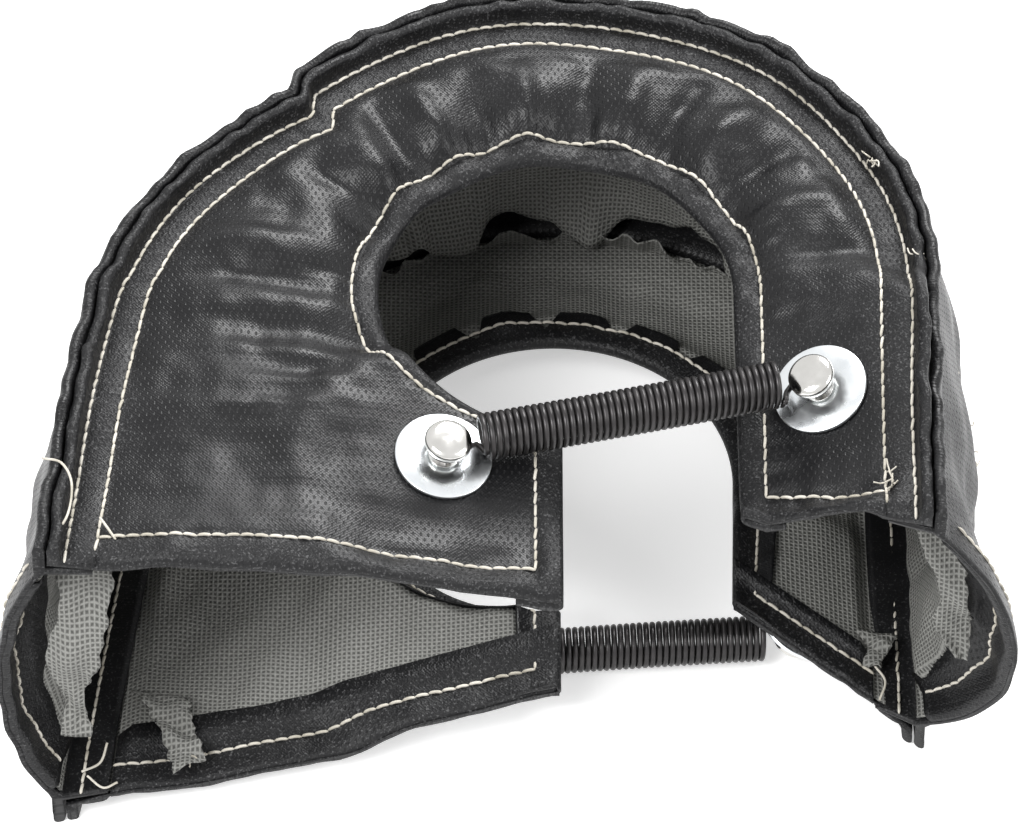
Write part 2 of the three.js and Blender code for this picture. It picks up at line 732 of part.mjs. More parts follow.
function shaped(geometry, { joined = [], cut = [] }) {
  let solid = toSolid(geometry);
  for (const addition of joined) {
    solid = solid.add(toSolid(addition));
  }
  for (const cutter of cut) {
    solid = solid.subtract(toSolid(cutter));
  }
  return toGeometry(mainBody(solid));
}

// A wall of revolution about Z, its profile given as radius and height pairs.
function turned(profile, sides) {
  const points = profile.map(([radius, height]) => new THREE.Vector2(radius, height));
  const geometry = new THREE.LatheGeometry(points, sides);
  geometry.rotateX(Math.PI / 2);
  return geometry;
}

const WASHER_BORE = SHANK_RADIUS + SHANK_CLEARANCE;

// Washer under a stud's neck: flat round the rim, pressed in slightly towards its bore.
function washerGeometry() {
  return turned([
    [WASHER_BORE, 0],
    [WASHER_RADIUS, 0],
    [WASHER_RADIUS, WASHER_THICKNESS],
    [WASHER_DISH_RADIUS, WASHER_THICKNESS],
    [WASHER_BORE, WASHER_THICKNESS - WASHER_DISH],
    [WASHER_BORE, 0],
  ], WASHER_SIDES);
}

// Small flat washer under the clinched end, inside the blanket.
function backWasherGeometry() {
  return turned([
    [WASHER_BORE, 0],
    [BACK_WASHER_RADIUS, 0],
    [BACK_WASHER_RADIUS, BACK_WASHER_THICKNESS],
    [WASHER_BORE, BACK_WASHER_THICKNESS],
    [WASHER_BORE, 0],
  ], BACK_WASHER_SIDES);
}

// Fasteners, each placed by the frame of its seat

const OUTER_FACE = CLEARANCE + WASHER_THICKNESS;
const NECK_START = OUTER_FACE + CLEARANCE;
const NECK_TOP = NECK_START + NECK_HEIGHT;
const HEAD_TOP = NECK_TOP + HEAD_HEIGHT;
const BACK_FACE = -(CLOTH + CLEARANCE);
const CLINCH_START = BACK_FACE - BACK_WASHER_THICKNESS - CLEARANCE;

// Lacing stud: domed head, waisted neck, shank through the layers, clinched inside.
function studGeometry() {
  return turned([
    [0, CLINCH_START - CLINCH_HEIGHT],
    [CLINCH_FOOT, CLINCH_START - CLINCH_HEIGHT],
    [CLINCH_RADIUS, CLINCH_START],
    [SHANK_RADIUS, CLINCH_START],
    [SHANK_RADIUS, NECK_START],
    [NECK_RADIUS, NECK_START],
    [NECK_RADIUS, NECK_TOP],
    [HEAD_RADIUS, NECK_TOP],
    [HEAD_RADIUS, NECK_TOP + HEAD_HEIGHT * HEAD_SHARES[0]],
    [HEAD_CROWN, NECK_TOP + HEAD_HEIGHT * HEAD_SHARES[1]],
    [0, HEAD_TOP],
  ], STUD_SIDES);
}

function seatFrame(seat, side) {
  const normal = seatNormal(seat, side);
  const turn = new THREE.Quaternion().setFromUnitVectors(new THREE.Vector3(0, 0, 1), normal);
  return { origin: new THREE.Vector3(seat.x, seat.y, seat.z), normal, turn };
}

function seatPoint(frame, height) {
  return frame.origin.clone().addScaledVector(frame.normal, height);
}

// A round cutter through all the layers at a seat.
function seatCutter(seat, side, radius, sides) {
  const frame = seatFrame(seat, side);
  const cutter = new THREE.CylinderGeometry(radius, radius, CUTTER_LENGTH, sides);
  cutter.rotateX(Math.PI / 2);
  cutter.applyQuaternion(frame.turn);
  cutter.translate(...frame.origin.toArray());
  return cutter;
}

// Extension spring: close coils between the studs, and a hook round each neck.
function springGeometry(leftSeat, rightSeat, side) {
  const left = seatFrame(leftSeat, side);
  const right = seatFrame(rightSeat, side);
  const hookHeight = NECK_TOP - SPRING_WIRE_RADIUS - HOOK_CLEARANCE;
  const start = seatPoint(left, hookHeight);
  const end = seatPoint(right, hookHeight);
  const lift = new THREE.Vector3(0, 0, side * SPRING_LIFT);
  const axis = end.clone().sub(start).normalize();
  const up = new THREE.Vector3(0, 0, side);
  up.addScaledVector(axis, -up.dot(axis)).normalize();
  const across = axis.clone().cross(up);
  const length = end.distanceTo(start) - 2 * SPRING_START;
  const turns = Math.round(length / SPRING_PITCH);
  const coilRadius = SPRING_RADIUS - SPRING_WIRE_RADIUS;
  const steps = turns * COIL_SIDES;
  const coils = [];
  for (let k = 0; k <= steps; k += 1) {
    const turn = (2 * Math.PI * k) / COIL_SIDES;
    coils.push(start.clone().add(lift)
      .addScaledVector(axis, SPRING_START + (length * k) / steps)
      .addScaledVector(across, coilRadius * Math.cos(turn))
      .addScaledVector(up, coilRadius * Math.sin(turn)));
  }
  const first = hookPoints(left, axis, hookHeight);
  const last = hookPoints(right, axis.clone().negate(), hookHeight);
  return sweep([...first, ...coils, ...last.reverse()], SPRING_WIRE_RADIUS, WIRE_SIDES);
}

// A hook starts behind the neck, runs round it and leaves along the spring's axis.
function hookPoints(frame, toward, height) {
  const centre = seatPoint(frame, height);
  const ahead = toward.clone().addScaledVector(frame.normal, -toward.dot(frame.normal));
  ahead.normalize();
  const beside = frame.normal.clone().cross(ahead);
  const radius = NECK_RADIUS + SPRING_WIRE_RADIUS + HOOK_CLEARANCE;
  const points = [];
  for (let k = 0; k <= HOOK_STEPS; k += 1) {
    const turn = degToRad(lerp(...HOOK_TURN, k / HOOK_STEPS));
    points.push(centre.clone()
      .addScaledVector(ahead, radius * Math.cos(turn))
      .addScaledVector(beside, radius * Math.sin(turn)));
  }
  points.push(centre.clone().addScaledVector(ahead, HEAD_RADIUS + HOOK_REACH));
  return points;
}

// Wedges that notch the turned hem of the lower face, from its free edge to the stitch.
function hemNotches(panel) {
  const radius = HOLE_RADIUS + LOWER_HOLE_EXTRA;
  const wedges = [];
  for (let k = 0; k < NOTCH_COUNT; k += 1) {
    const angle = degToRad(lerp(NOTCH_FIRST, NOTCH_LAST, k / (NOTCH_COUNT - 1)));
    const outline = new THREE.Shape([
      new THREE.Vector2(radius + NOTCH_POINT, 0),
      new THREE.Vector2(radius + HEM_REACH + NOTCH_POINT, NOTCH_WIDTH / 2),
      new THREE.Vector2(radius + HEM_REACH + NOTCH_POINT, -NOTCH_WIDTH / 2),
    ]);
    const wedge = new THREE.ExtrudeGeometry(outline, { depth: NOTCH_HEIGHT, bevelEnabled: false });
    wedge.rotateZ(angle);
    wedge.translate(0, 0, panel.level + panel.fall.arc + THIN_LINER_BOTTOM);
    wedges.push(wedge);
  }
  return wedges;
}

// Assembly

const group = new THREE.Group();

function addMesh(name, geometry, material, frame = null, height = 0) {
  const mesh = new THREE.Mesh(geometry, material);
  mesh.name = name;
  if (frame) {
    mesh.position.copy(seatPoint(frame, height));
    mesh.quaternion.copy(frame.turn);
  }
  group.add(mesh);
}

function addPanel(name, panel) {
  const all = panel.stations.map((_, index) => index);
  const filled = all.filter((index) => isFilled(panel, index));
  const cutters = (radius, sides) => panel.seats.map(
    (seat) => seatCutter(seat, panel.side, radius + SHANK_CLEARANCE, sides),
  );
  const cloth = loftSections(all.map((index) => clothSection(panel, index)));
  const hems = [legHem(panel, false), legHem(panel, true)];
  const notches = panel.notched ? hemNotches(panel) : [];
  const shankHoles = cutters(SHANK_RADIUS, HOLE_SIDES);
  const sewn = shaped(cloth, { joined: hems, cut: [...shankHoles, ...notches] });
  addMesh(`${name}_face_cloth`, sewn, MATERIALS.cloth);
  const felt = loftSections(filled.map((index) => feltSection(panel, index)));
  const washerHoles = cutters(BACK_WASHER_RADIUS, BACK_WASHER_SIDES);
  addMesh(`${name}_face_felt`, shaped(felt, { cut: washerHoles }), MATERIALS.felt);
  const edges = endSections(all.map((index) => linerSection(panel, index)));
  addMesh(`${name}_face_liner`, loftSections(edges), MATERIALS.liner);
}

function addBand(band) {
  const all = band.upper.stations.map((_, index) => index);
  const filled = all.filter((index) => isFilled(band.upper, index));
  const wall = loftSections(all.map((index) => bandClothSection(band, index)), runsDown);
  const hems = [bandHem(band, false), bandHem(band, true)];
  addMesh('band_cloth', shaped(wall, { joined: hems }), MATERIALS.cloth);
  const felt = loftSections(filled.map((index) => bandFeltSection(band, index)), runsDown);
  addMesh('band_felt', felt, MATERIALS.felt);
  const edges = endSections(all.map((index) => bandLinerSection(band, index)));
  const liner = loftSections(edges, runsDown);
  addMesh('band_liner', liner, MATERIALS.liner);
}

function addFasteners(name, panel, leftSeat, rightSeat) {
  const stud = studGeometry();
  const faceWasher = washerGeometry();
  const backWasher = backWasherGeometry();
  for (const [hand, seat] of [['left', leftSeat], ['right', rightSeat]]) {
    const frame = seatFrame(seat, panel.side);
    addMesh(`${name}_${hand}_stud`, stud, MATERIALS.nickel, frame);
    addMesh(`${name}_${hand}_washer`, faceWasher, MATERIALS.zinc, frame, CLEARANCE);
    addMesh(
      `${name}_${hand}_back_washer`, backWasher, MATERIALS.zinc, frame,
      BACK_FACE - BACK_WASHER_THICKNESS,
    );
  }
  const spring = springGeometry(leftSeat, rightSeat, panel.side);
  addMesh(`${name}_spring`, spring, MATERIALS.spring);
}

const upper = {
  side: 1,
  level: UPPER_LEVEL,
  stations: planStations(UPPER_FRONTS, HOLE_RADIUS),
  fall: { arc: 5, left: 10, right: 9 },
  puff: UPPER_PUFF,
  seats: [SEATS.upper_left, SEATS.upper_right],
  notched: false,
};
const lower = {
  side: -1,
  level: LOWER_LEVEL,
  stations: planStations(LOWER_FRONTS, HOLE_RADIUS + LOWER_HOLE_EXTRA),
  fall: { arc: 9, left: 5, right: 14 },
  puff: LOWER_PUFF,
  seats: [SEATS.lower_left, SEATS.lower_right],
  notched: true,
};

addPanel('upper', upper);
addPanel('lower', lower);
addBand({ upper, lower });
addFasteners('upper', upper, SEATS.upper_left, SEATS.upper_right);
addFasteners('lower', lower, SEATS.lower_left, SEATS.lower_right);

// Set the finished part with its lowest point at Z 0 over the middle of its plan.
group.updateMatrixWorld(true);
const extent = new THREE.Box3().setFromObject(group, true);
const middle = extent.getCenter(new THREE.Vector3());
group.position.set(-middle.x, -middle.y, -extent.min.z);

export default group;
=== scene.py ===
"""Looks of a sewn heat blanket: black coated cloth over felt, lined with grey woven cloth.

Every surface is a grid of points worked out from two parameters. Lines cross each
face from the outer seam in to the hole or slot. `place` counts along them, from 0 at
the left leg's end to 28 at the right leg's end, `across` is the distance in from the
seam, and `depth` is the distance below the face's outer surface. The band between the
faces uses the same places, and `level` from 0 at its lower seam to 1 at its upper one.
Sizes are millimetres until a mesh is made.
"""
import math
from types import SimpleNamespace

import bpy
import numpy as np
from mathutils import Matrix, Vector


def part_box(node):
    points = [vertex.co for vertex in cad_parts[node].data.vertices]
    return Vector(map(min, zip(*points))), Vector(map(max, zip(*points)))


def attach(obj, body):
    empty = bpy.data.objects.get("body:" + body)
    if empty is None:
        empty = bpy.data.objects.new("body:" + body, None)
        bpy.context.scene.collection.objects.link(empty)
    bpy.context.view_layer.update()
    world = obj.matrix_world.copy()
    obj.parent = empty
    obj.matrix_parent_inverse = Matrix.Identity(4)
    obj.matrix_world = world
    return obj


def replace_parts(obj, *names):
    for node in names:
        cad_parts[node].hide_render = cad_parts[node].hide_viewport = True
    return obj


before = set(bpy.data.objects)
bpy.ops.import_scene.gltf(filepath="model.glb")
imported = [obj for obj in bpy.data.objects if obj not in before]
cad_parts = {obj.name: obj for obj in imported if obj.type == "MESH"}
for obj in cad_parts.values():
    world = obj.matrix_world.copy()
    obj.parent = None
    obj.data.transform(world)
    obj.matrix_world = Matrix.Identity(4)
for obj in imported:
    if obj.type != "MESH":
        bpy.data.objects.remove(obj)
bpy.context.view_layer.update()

MM = 0.001
UV_UNIT = 100

# Plan of the horseshoe, round the hole's centre
HOLE_RADIUS = 46
LOWER_HOLE_EXTRA = 2
SLOT_LEFT = 1.5
SLOT_WIDTH = 45
BACK_RADIUS = 99
STEP_START = 134
STEP_END = 139
STEP_DEPTH = 5
LEFT_REACH = 118.5
LEFT_SPLAY = 12
LEFT_SPLAY_LENGTH = 94
LEFT_SPLAY_POWER = 0.6
RIGHT_TAPER = 2
TURN_OUTER_Y = -50
LEG_STITCH = 8
LEG_HEM_LEFT = 18
LEG_HEM_RIGHT = 13

# Places along the seam: leg ends, turns into the arc, step in the outline
PLACES = 28
LEFT_TURN = 4
LEFT_SIDE = 8
STEP_PLACES = (12, 13)
RIGHT_TURN = 24

# Heights and layers
LIP_HEIGHT = 5.6
LOWER_LEVEL = LIP_HEIGHT
FACE_DISTANCE = 94.5
SEAM_WAVE = 0.8
CLOTH = 1.2
HEM_TOP = 3.0
HEM_BOTTOM = 4.0
DEEP_TOP = 6.9
DEEP_BOTTOM = 7.9
THIN_LINER = (1.7, 2.5)
FULL_LINER = (5.6, 6.4)
FELT = (2.1, 5.1)
ROW_PRESS = 0.3
FACE_REST = 2.9

# Distances in from the seam or from a turned edge
BAND_LIP = (0.2, 3.3)
FACE_LIP = (3.8, 6.9)
ROW_ONE = 8
ROW_TWO = 15.5
FLANGE_END = 15
LINER_START = 9
FILL_START = 20
HOLE_STITCH = 7
HOLE_HEM = 12

# Soft shape
GATHER_HEIGHT = 2.2
GATHER_COUNT = 15
RUFFLE_COUNT = 13
SPLAY_LIMIT = 1.2
SEAM_WAVE_TURN = 1.7
GATHER_WARP = 0.9
CRUMPLE_HEIGHT = 0.5
CRUMPLE_WAVE = 30
FINE_HEIGHT = 0.16
FINE_WAVE = 9
NOTCH_ANGLES = (30, 134)
NOTCH_COUNT = 6
NOTCH_REACH = 5.5
NOTCH_SLOPE = 2.2
NOTCH_HALF_WIDTH = 0.8
NOTCH_RING = 6
RAISED_OUT = 3.5
RAISED_LIFT = 3.1

# How far the band bags out: left leg and right leg from turn to end, side and back
BAG_LEFT = (8, 11)
BAG_RIGHT = (7, 21)
BAG_SIDE = 6
BAG_BACK = 4
BAG_WAVE = 1.2
BAG_WAVE_TURN = 1.9
BAG_POWER = 2.2

# Fittings
WASHER_RADIUS = 12.5
WASHER_FACES = (0.3, 1.5)
BACK_WASHER_RADIUS = 5
BACK_WASHER_FACES = (-2.3, -1.5)
SHANK_RADIUS = 2
SHANK_HOLE = 2.4
NECK_RADIUS = 3.2
NECK_ENDS = (1.8, 7.2)
HEAD_RADIUS = 6
HEAD_TOP = 10.4
CLINCH_RADIUS = 3.2
CLINCH_ENDS = (-3.6, -2.6)
WIRE_RADIUS = 0.8
COIL_RADIUS = 5.4
SPRING_PITCH = 1.72
SPRING_START = 9
HOOK_HEIGHT = 6.05
HOOK_RADIUS = 4.35
HOOK_END = 7.6
SPRING_LIFT = 0.8
SEAT_FLAT = 30
SEAT_FADE = 44
WASHER_EDGE = 0.3
WASHER_SIDES = 96
STUD_SIDES = 64

# Thread
STITCH_PITCH = 3.5
STITCH_RADIUS = 0.42
STITCH_RISE = 0.45
STITCH_SINK = 0.12
LOOSE_RADIUS = 0.33
FRAY_RADIUS = 0.22
THREAD_GUIDE = (0.2, 0.3, 1.0)

# Stage and camera, in metres, watts and degrees
FLOOR_HALF = 4.0
FLOOR_GLOW = 0.5
SURROUND_LIGHT = 0.42
LAMP_SIZE = 0.5
LAMP_TARGET = (0, 0, 0.06)
LAMPS = (
    ("key_lamp", (-0.5, -0.55, 0.95), 11),
    ("back_lamp", (0.25, 0.75, 0.85), 13),
    ("side_lamp", (0.85, -0.3, 0.6), 4),
)
VIEW_ELEVATION = 50
VIEW_DISTANCE = 1.5
VIEW_TARGET = (0.00126, -0.00604, 0.05)
VIEW_LENS = 199.3

SEATS = {
    "upper_left": SimpleNamespace(at=(-28.9, -57.5, 96.5), lean=(0.18, -0.12), side=1),
    "upper_right": SimpleNamespace(at=(67.5, -34.3, 95.5), lean=(-0.36, -0.18), side=1),
    "lower_left": SimpleNamespace(at=(-26.5, -52.5, 14), lean=(0.16, 0.02), side=-1),
    "lower_right": SimpleNamespace(at=(66.5, -45, 14), lean=(-0.34, -0.03), side=-1),
}

# Creases of each face: start and end in plan, half width, height (a valley is negative)
UPPER_CREASES = [
    (-92, 2, -58, -4, 3.5, -2.0),
    (-96, 12, -54, 8, 5.0, 1.8),
    (-78, 44, -52, 12, 4.5, 1.4),
    (-66, 38, -44, 26, 3.0, -1.4),
    (-50, 62, -38, 38, 3.5, -2.0),
    (-42, 72, -28, 44, 4.0, 1.8),
    (-24, 78, -18, 46, 3.5, -1.7),
    (-10, 76, -6, 50, 4.5, 1.6),
    (10, 78, 6, 54, 3.5, -2.0),
    (24, 76, 16, 50, 4.5, 1.9),
    (42, 72, 26, 46, 3.5, -2.2),
    (56, 60, 36, 42, 4.5, 2.0),
    (68, 48, 42, 32, 3.5, -2.0),
    (80, 30, 50, 20, 5.0, 1.8),
    (84, 8, 54, 8, 4.0, -1.6),
    (84, -12, 56, -4, 5.0, 1.3),
    (-104, -30, -60, -24, 9.0, 0.9),
    (-100, -56, -64, -70, 9.0, -0.6),
]
LOWER_CREASES = [
    (-90, 10, -56, 2, 5.0, -1.4),
    (-60, 56, -36, 36, 5.0, 1.4),
    (-20, 78, -12, 50, 5.0, -1.4),
    (24, 78, 14, 50, 5.0, 1.4),
    (66, 50, 40, 32, 5.0, -1.4),
    (84, 6, 54, 4, 5.0, 1.2),
    (-100, -40, -60, -30, 8.0, 1.0),
    (-60, -84, -10, -60, 8.0, -0.9),
]

# Raw edge of the lower liner, standing up round the back: angles and heights
FLAP_ANGLES = (35, 45, 55, 61, 67, 69, 76, 82, 91, 97, 103, 108, 118, 130, 142)
FLAP_HEIGHTS = (0.5, 4, 2.5, 4, 3, 9, 11, 8, 3, 10, 6, 3.5, 5, 3, 0.5)

# Torn bits of liner: the left and right edge of each, as points
BAND_TEARS = (
    (
        ((-128.8, -82, 95), (-124.8, -90, 80), (-129.1, -97.1, 65), (-125, -99.2, 52), (-126.6, -101.9, 40)),
        ((-109.6, -82, 95), (-112.2, -90, 80), (-115.3, -97.1, 65), (-119.9, -99.2, 52), (-118.2, -101.9, 40)),
    ),
    (
        ((89.9, -63.8, 80), (97.9, -73, 62), (96.5, -74.5, 52), (102.4, -79.7, 43)),
        ((103.3, -65.8, 79), (104.9, -75, 62), (106.4, -74.6, 51), (105.5, -79.7, 42)),
    ),
)
FACE_TEARS = (
    (
        ((-111, -69, 15.5), (-104, -80, 15), (-99, -95, 13.5)),
        ((-96.5, -71.4, 15.5), (-94, -82, 14.5), (-91, -90, 14)),
    ),
    (
        ((79.1, -48.1, 15), (80, -60.1, 14)),
        ((90.4, -50.8, 14.5), (85.4, -61.1, 13.5)),
    ),
)

# Loose threads, each as points, and frays: centre, reach and number of ends
LOOSE_THREADS = (
    ((-114, -81.1, 102), (-111.9, -84.5, 102), (-108.8, -88.5, 100)),
    (
        (-129.1, -64.4, 105), (-123.8, -68.5, 108), (-120.9, -75.6, 108.5), (-121.6, -84.4, 107),
        (-125.6, -87.5, 102), (-128.8, -88.5, 97),
    ),
    ((-122.8, -95.4, 15), (-118.4, -91, 13), (-116.5, -87.6, 17)),
    ((-121.5, -96, 14), (-117.5, -97.6, 11), (-113.7, -96.6, 12)),
    ((-1.9, -54.9, 15), (-3.5, -58.5, 15.5), (-1, -62, 14.5)),
    ((84, -60, 14), (86.5, -66, 15), (85, -70, 12)),
)
FRAYS = (
    ((84.2, -67.4, 99.5), 5.5, 9),
    ((83, 37.5, 104), 4, 7),
    ((94, 5, 104), 3.5, 7),
    ((102.5, -12, 72), 5, 8),
    ((104.5, -20, 66), 5, 8),
    ((107, -28, 60), 4.5, 7),
    ((-94.8, -89.3, 14), 2.5, 5),
    ((-1.4, -68.1, 14.5), 2.5, 5),
)


# Shapes as formulas


def mix(a, b, share):
    """Straight blend from a at share 0 to b at share 1."""
    return a + (b - a) * share


def ease(x, low, high):
    """Cubic ease, 0 below low and 1 above high."""
    share = np.clip((x - low) / (high - low), 0, 1)
    return share * share * (3 - 2 * share)


def bell(x, centre, width):
    """Bell of height 1 at centre, one over e at width from it."""
    return np.exp(-(((x - centre) / width) ** 2))


def wander(x, wavelength, seed, count=6):
    """Irregular wave along a line: sines of mixed wavelengths and seeded phases, about -1 to 1."""
    rng = np.random.default_rng(seed)
    waves = wavelength * rng.uniform(0.6, 1.7, count)
    phases = rng.uniform(0, 2 * np.pi, count)
    x = np.asarray(x, float)[..., None]
    return np.sin(2 * np.pi * x / waves + phases).sum(-1) / math.sqrt(count)


def crumple(x, y, wavelength, seed, count=8):
    """Irregular relief over a plane: sine waves in seeded directions, about -1 to 1."""
    rng = np.random.default_rng(seed)
    waves = wavelength * rng.uniform(0.6, 1.7, count)
    turns = rng.uniform(0, np.pi, count)
    phases = rng.uniform(0, 2 * np.pi, count)
    run = np.asarray(x)[..., None] * np.cos(turns) + np.asarray(y)[..., None] * np.sin(turns)
    return np.sin(2 * np.pi * run / waves + phases).sum(-1) / math.sqrt(count)


def crease_relief(x, y, creases):
    """Sum of straight creases: each is its height times a bell across it and a half sine along it."""
    relief = np.zeros(np.broadcast(x, y).shape)
    for from_x, from_y, to_x, to_y, width, height in creases:
        run_x, run_y = to_x - from_x, to_y - from_y
        length = math.hypot(run_x, run_y)
        along = ((x - from_x) * run_x + (y - from_y) * run_y) / length**2
        away = ((x - from_x) * run_y - (y - from_y) * run_x) / length
        relief = relief + height * np.sin(np.pi * np.clip(along, 0, 1)) * bell(away, 0, width)
    return relief


def unit(vectors):
    """Vectors scaled to length 1."""
    return vectors / np.linalg.norm(vectors, axis=-1, keepdims=True)


# Plan of the faces


def leg_marks(front, turn, reach):
    """Positions along a leg's edge at whole places: end, stitch, hem, halfway, turn."""
    hem = front + reach
    return [front, front + LEG_STITCH, hem, (hem + turn) / 2, turn]


def polar(radius, angle):
    """Plan points at a radius and an angle in degrees."""
    turn = np.radians(angle)
    return np.stack([radius * np.cos(turn), radius * np.sin(turn)], -1)


def outer_radius(angle):
    """An arc round the back, a step in at its left, and from there a spiral out to the side."""
    step = STEP_DEPTH * ease(angle, STEP_START, STEP_END)
    run = np.clip((angle - STEP_END) / (180 - STEP_END), 0, 1)
    return BACK_RADIUS - step + (LEFT_REACH - BACK_RADIUS + STEP_DEPTH) * run


def crossing_lines(face, place):
    """Lines across a face: their outer and inner ends, their length and direction.

    The outer end runs along the left leg's splayed side, the spiral, the step, the
    back's arc and the right leg. The inner end runs along the slot and round the hole.
    """
    place = np.asarray(place, float)
    fronts, radius = face.fronts, face.hole_radius
    turn_y = -math.sqrt(radius**2 - SLOT_LEFT**2)
    turn_angle = 360 - math.degrees(math.acos(SLOT_LEFT / radius))
    left_places = [0, 1, 2, 3, LEFT_TURN]
    right_places = [RIGHT_TURN, 25, 26, 27, PLACES]
    angle = np.interp(
        place,
        [LEFT_TURN, LEFT_SIDE, *STEP_PLACES, RIGHT_TURN],
        [turn_angle, 180, STEP_END, STEP_START, 0],
    )
    left_marks = leg_marks(fronts["left_outer"], TURN_OUTER_Y, LEG_HEM_LEFT)
    left_y = np.interp(place, [*left_places, LEFT_SIDE], [*left_marks, 0])
    right_marks = leg_marks(fronts["right_outer"], 0, LEG_HEM_RIGHT)
    right_y = np.interp(place, right_places, right_marks[::-1])
    splay = np.clip(-left_y / LEFT_SPLAY_LENGTH, 0, SPLAY_LIMIT) ** LEFT_SPLAY_POWER
    left = np.stack([-(LEFT_REACH + LEFT_SPLAY * splay), left_y], -1)
    right_x = BACK_RADIUS - RIGHT_TAPER * right_y / fronts["right_outer"]
    right = np.stack([right_x, right_y], -1)
    arc = polar(outer_radius(angle), angle)
    on_left = (place < LEFT_SIDE)[..., None]
    on_right = (place > RIGHT_TURN)[..., None]
    outer = np.where(on_left, left, np.where(on_right, right, arc))
    slot_marks = leg_marks(fronts["left_inner"], turn_y, LEG_HEM_LEFT)
    slot_y = np.interp(place, left_places, slot_marks)
    slot = np.stack([np.full_like(slot_y, SLOT_LEFT), slot_y], -1)
    far_marks = leg_marks(fronts["right_inner"], 0, LEG_HEM_RIGHT)
    far_y = np.interp(place, right_places, far_marks[::-1])
    far_x = mix(radius, SLOT_LEFT + SLOT_WIDTH, far_y / fronts["right_inner"])
    far = np.stack([far_x, far_y], -1)
    on_slot = (place < LEFT_TURN)[..., None]
    inner = np.where(on_slot, slot, np.where(on_right, far, polar(radius, angle)))
    across = inner - outer
    return SimpleNamespace(
        place=place,
        outer=outer,
        inner=inner,
        inward=unit(across),
        length=np.linalg.norm(across, axis=-1),
        angle=angle,
        left=np.clip((LEFT_TURN - place) / LEFT_TURN, 0, 1),
        right=np.clip((place - RIGHT_TURN) / (PLACES - RIGHT_TURN), 0, 1),
    )


def seam_run(place):
    """Distance along the upper seam from the left leg's end."""
    dense = np.linspace(0, PLACES, 1401)
    outer = crossing_lines(UPPER, dense).outer
    steps = np.linalg.norm(np.diff(outer, axis=0), axis=1)
    return np.interp(place, dense, np.concatenate([[0], np.cumsum(steps)]))


def fullness(place):
    """How much filling a line has: none at a leg's end, all past its hem."""
    return np.clip(place - 1, 0, 1) * np.clip(PLACES - 1 - place, 0, 1)


def normal_of(seat):
    """Unit normal of a washer's seat, out of the blanket."""
    x, y = seat.lean
    return np.array([x, y, seat.side * math.sqrt(1 - x * x - y * y)])


def seat_clear(face, x, y, near, far):
    """1 away from the washers, 0 within the near distance of one."""
    clear = np.ones(np.broadcast(x, y).shape)
    for seat in face.seats:
        clear = clear * ease(np.hypot(x - seat.at[0], y - seat.at[1]), near, far)
    return clear


def gather(face, lines, across):
    """Gathers round the hole: cosines of the angle, growing towards the hem stitch."""
    share = (across - ROW_TWO) / (lines.length - HOLE_STITCH - ROW_TWO)
    spot = lines.outer + lines.inward * np.asarray(across)[..., None]
    reach = ease(share, 0.1, 0.9) * (1 - np.maximum(lines.left, lines.right))
    reach = reach * seat_clear(face, spot[..., 0], spot[..., 1], SEAT_FLAT, SEAT_FADE)
    turn = np.radians(lines.angle)
    wave = 0.5 + 0.5 * np.cos(GATHER_COUNT * turn + GATHER_WARP * np.sin(3 * turn))
    return GATHER_HEIGHT * reach * wave**1.5


def face_height(face, lines, across):
    """Height of a face's base surface.

    It starts at the seam's level, rises by the filling's puff, 1 - |2s - 1|^3 over the
    share s from the second stitch row to the hem stitch, and falls by s squared towards
    the hole. Creases and a fine crumple are added, and it eases to each washer's plane.
    """
    side = face.side
    seam = face.level + (SEAM_WAVE * np.sin(SEAM_WAVE_TURN * lines.place) if side > 0 else 0)
    share = np.clip((across - ROW_TWO) / (lines.length - HOLE_STITCH - ROW_TWO), 0, 1)
    fall = mix(mix(face.fall["arc"], face.fall["left"], lines.left), face.fall["right"], lines.right)
    puff = face.puff * (1 - np.abs(2 * share - 1) ** 3)
    height = seam + side * (puff - fall * share**2 - ROW_PRESS * ease(across, 6.9, ROW_ONE))
    x = lines.outer[..., 0] + lines.inward[..., 0] * across
    y = lines.outer[..., 1] + lines.inward[..., 1] * across
    for seat in face.seats:
        normal = normal_of(seat)
        away = np.hypot(x - seat.at[0], y - seat.at[1])
        tilt = normal[0] * (x - seat.at[0]) + normal[1] * (y - seat.at[1])
        height = mix(height, seat.at[2] - tilt / normal[2], 1 - ease(away, SEAT_FLAT, SEAT_FADE))
    soft = ease(across, ROW_TWO, ROW_TWO + 7) * (1 - ease(across, lines.length - 8, lines.length))
    soft = soft * seat_clear(face, x, y, WASHER_RADIUS + 0.5, WASHER_RADIUS + 9)
    relief = crease_relief(x, y, face.creases)
    relief = relief + CRUMPLE_HEIGHT * crumple(x, y, CRUMPLE_WAVE, face.seed)
    relief = relief + FINE_HEIGHT * crumple(x, y, FINE_WAVE, face.seed + 1)
    height = height + side * soft * relief
    return height if side > 0 else np.maximum(height, FACE_REST)


def face_point(face, place, across, depth, standing=0.0):
    """A point of a face, its cloth standing off by a share of the gathers."""
    place, across, depth = np.broadcast_arrays(place, across, depth)
    lines = crossing_lines(face, place)
    height = face_height(face, lines, across)
    height = height + face.side * (standing * gather(face, lines, across) - depth)
    spot = lines.outer + lines.inward * across[..., None]
    return np.concatenate([spot, height[..., None]], -1)


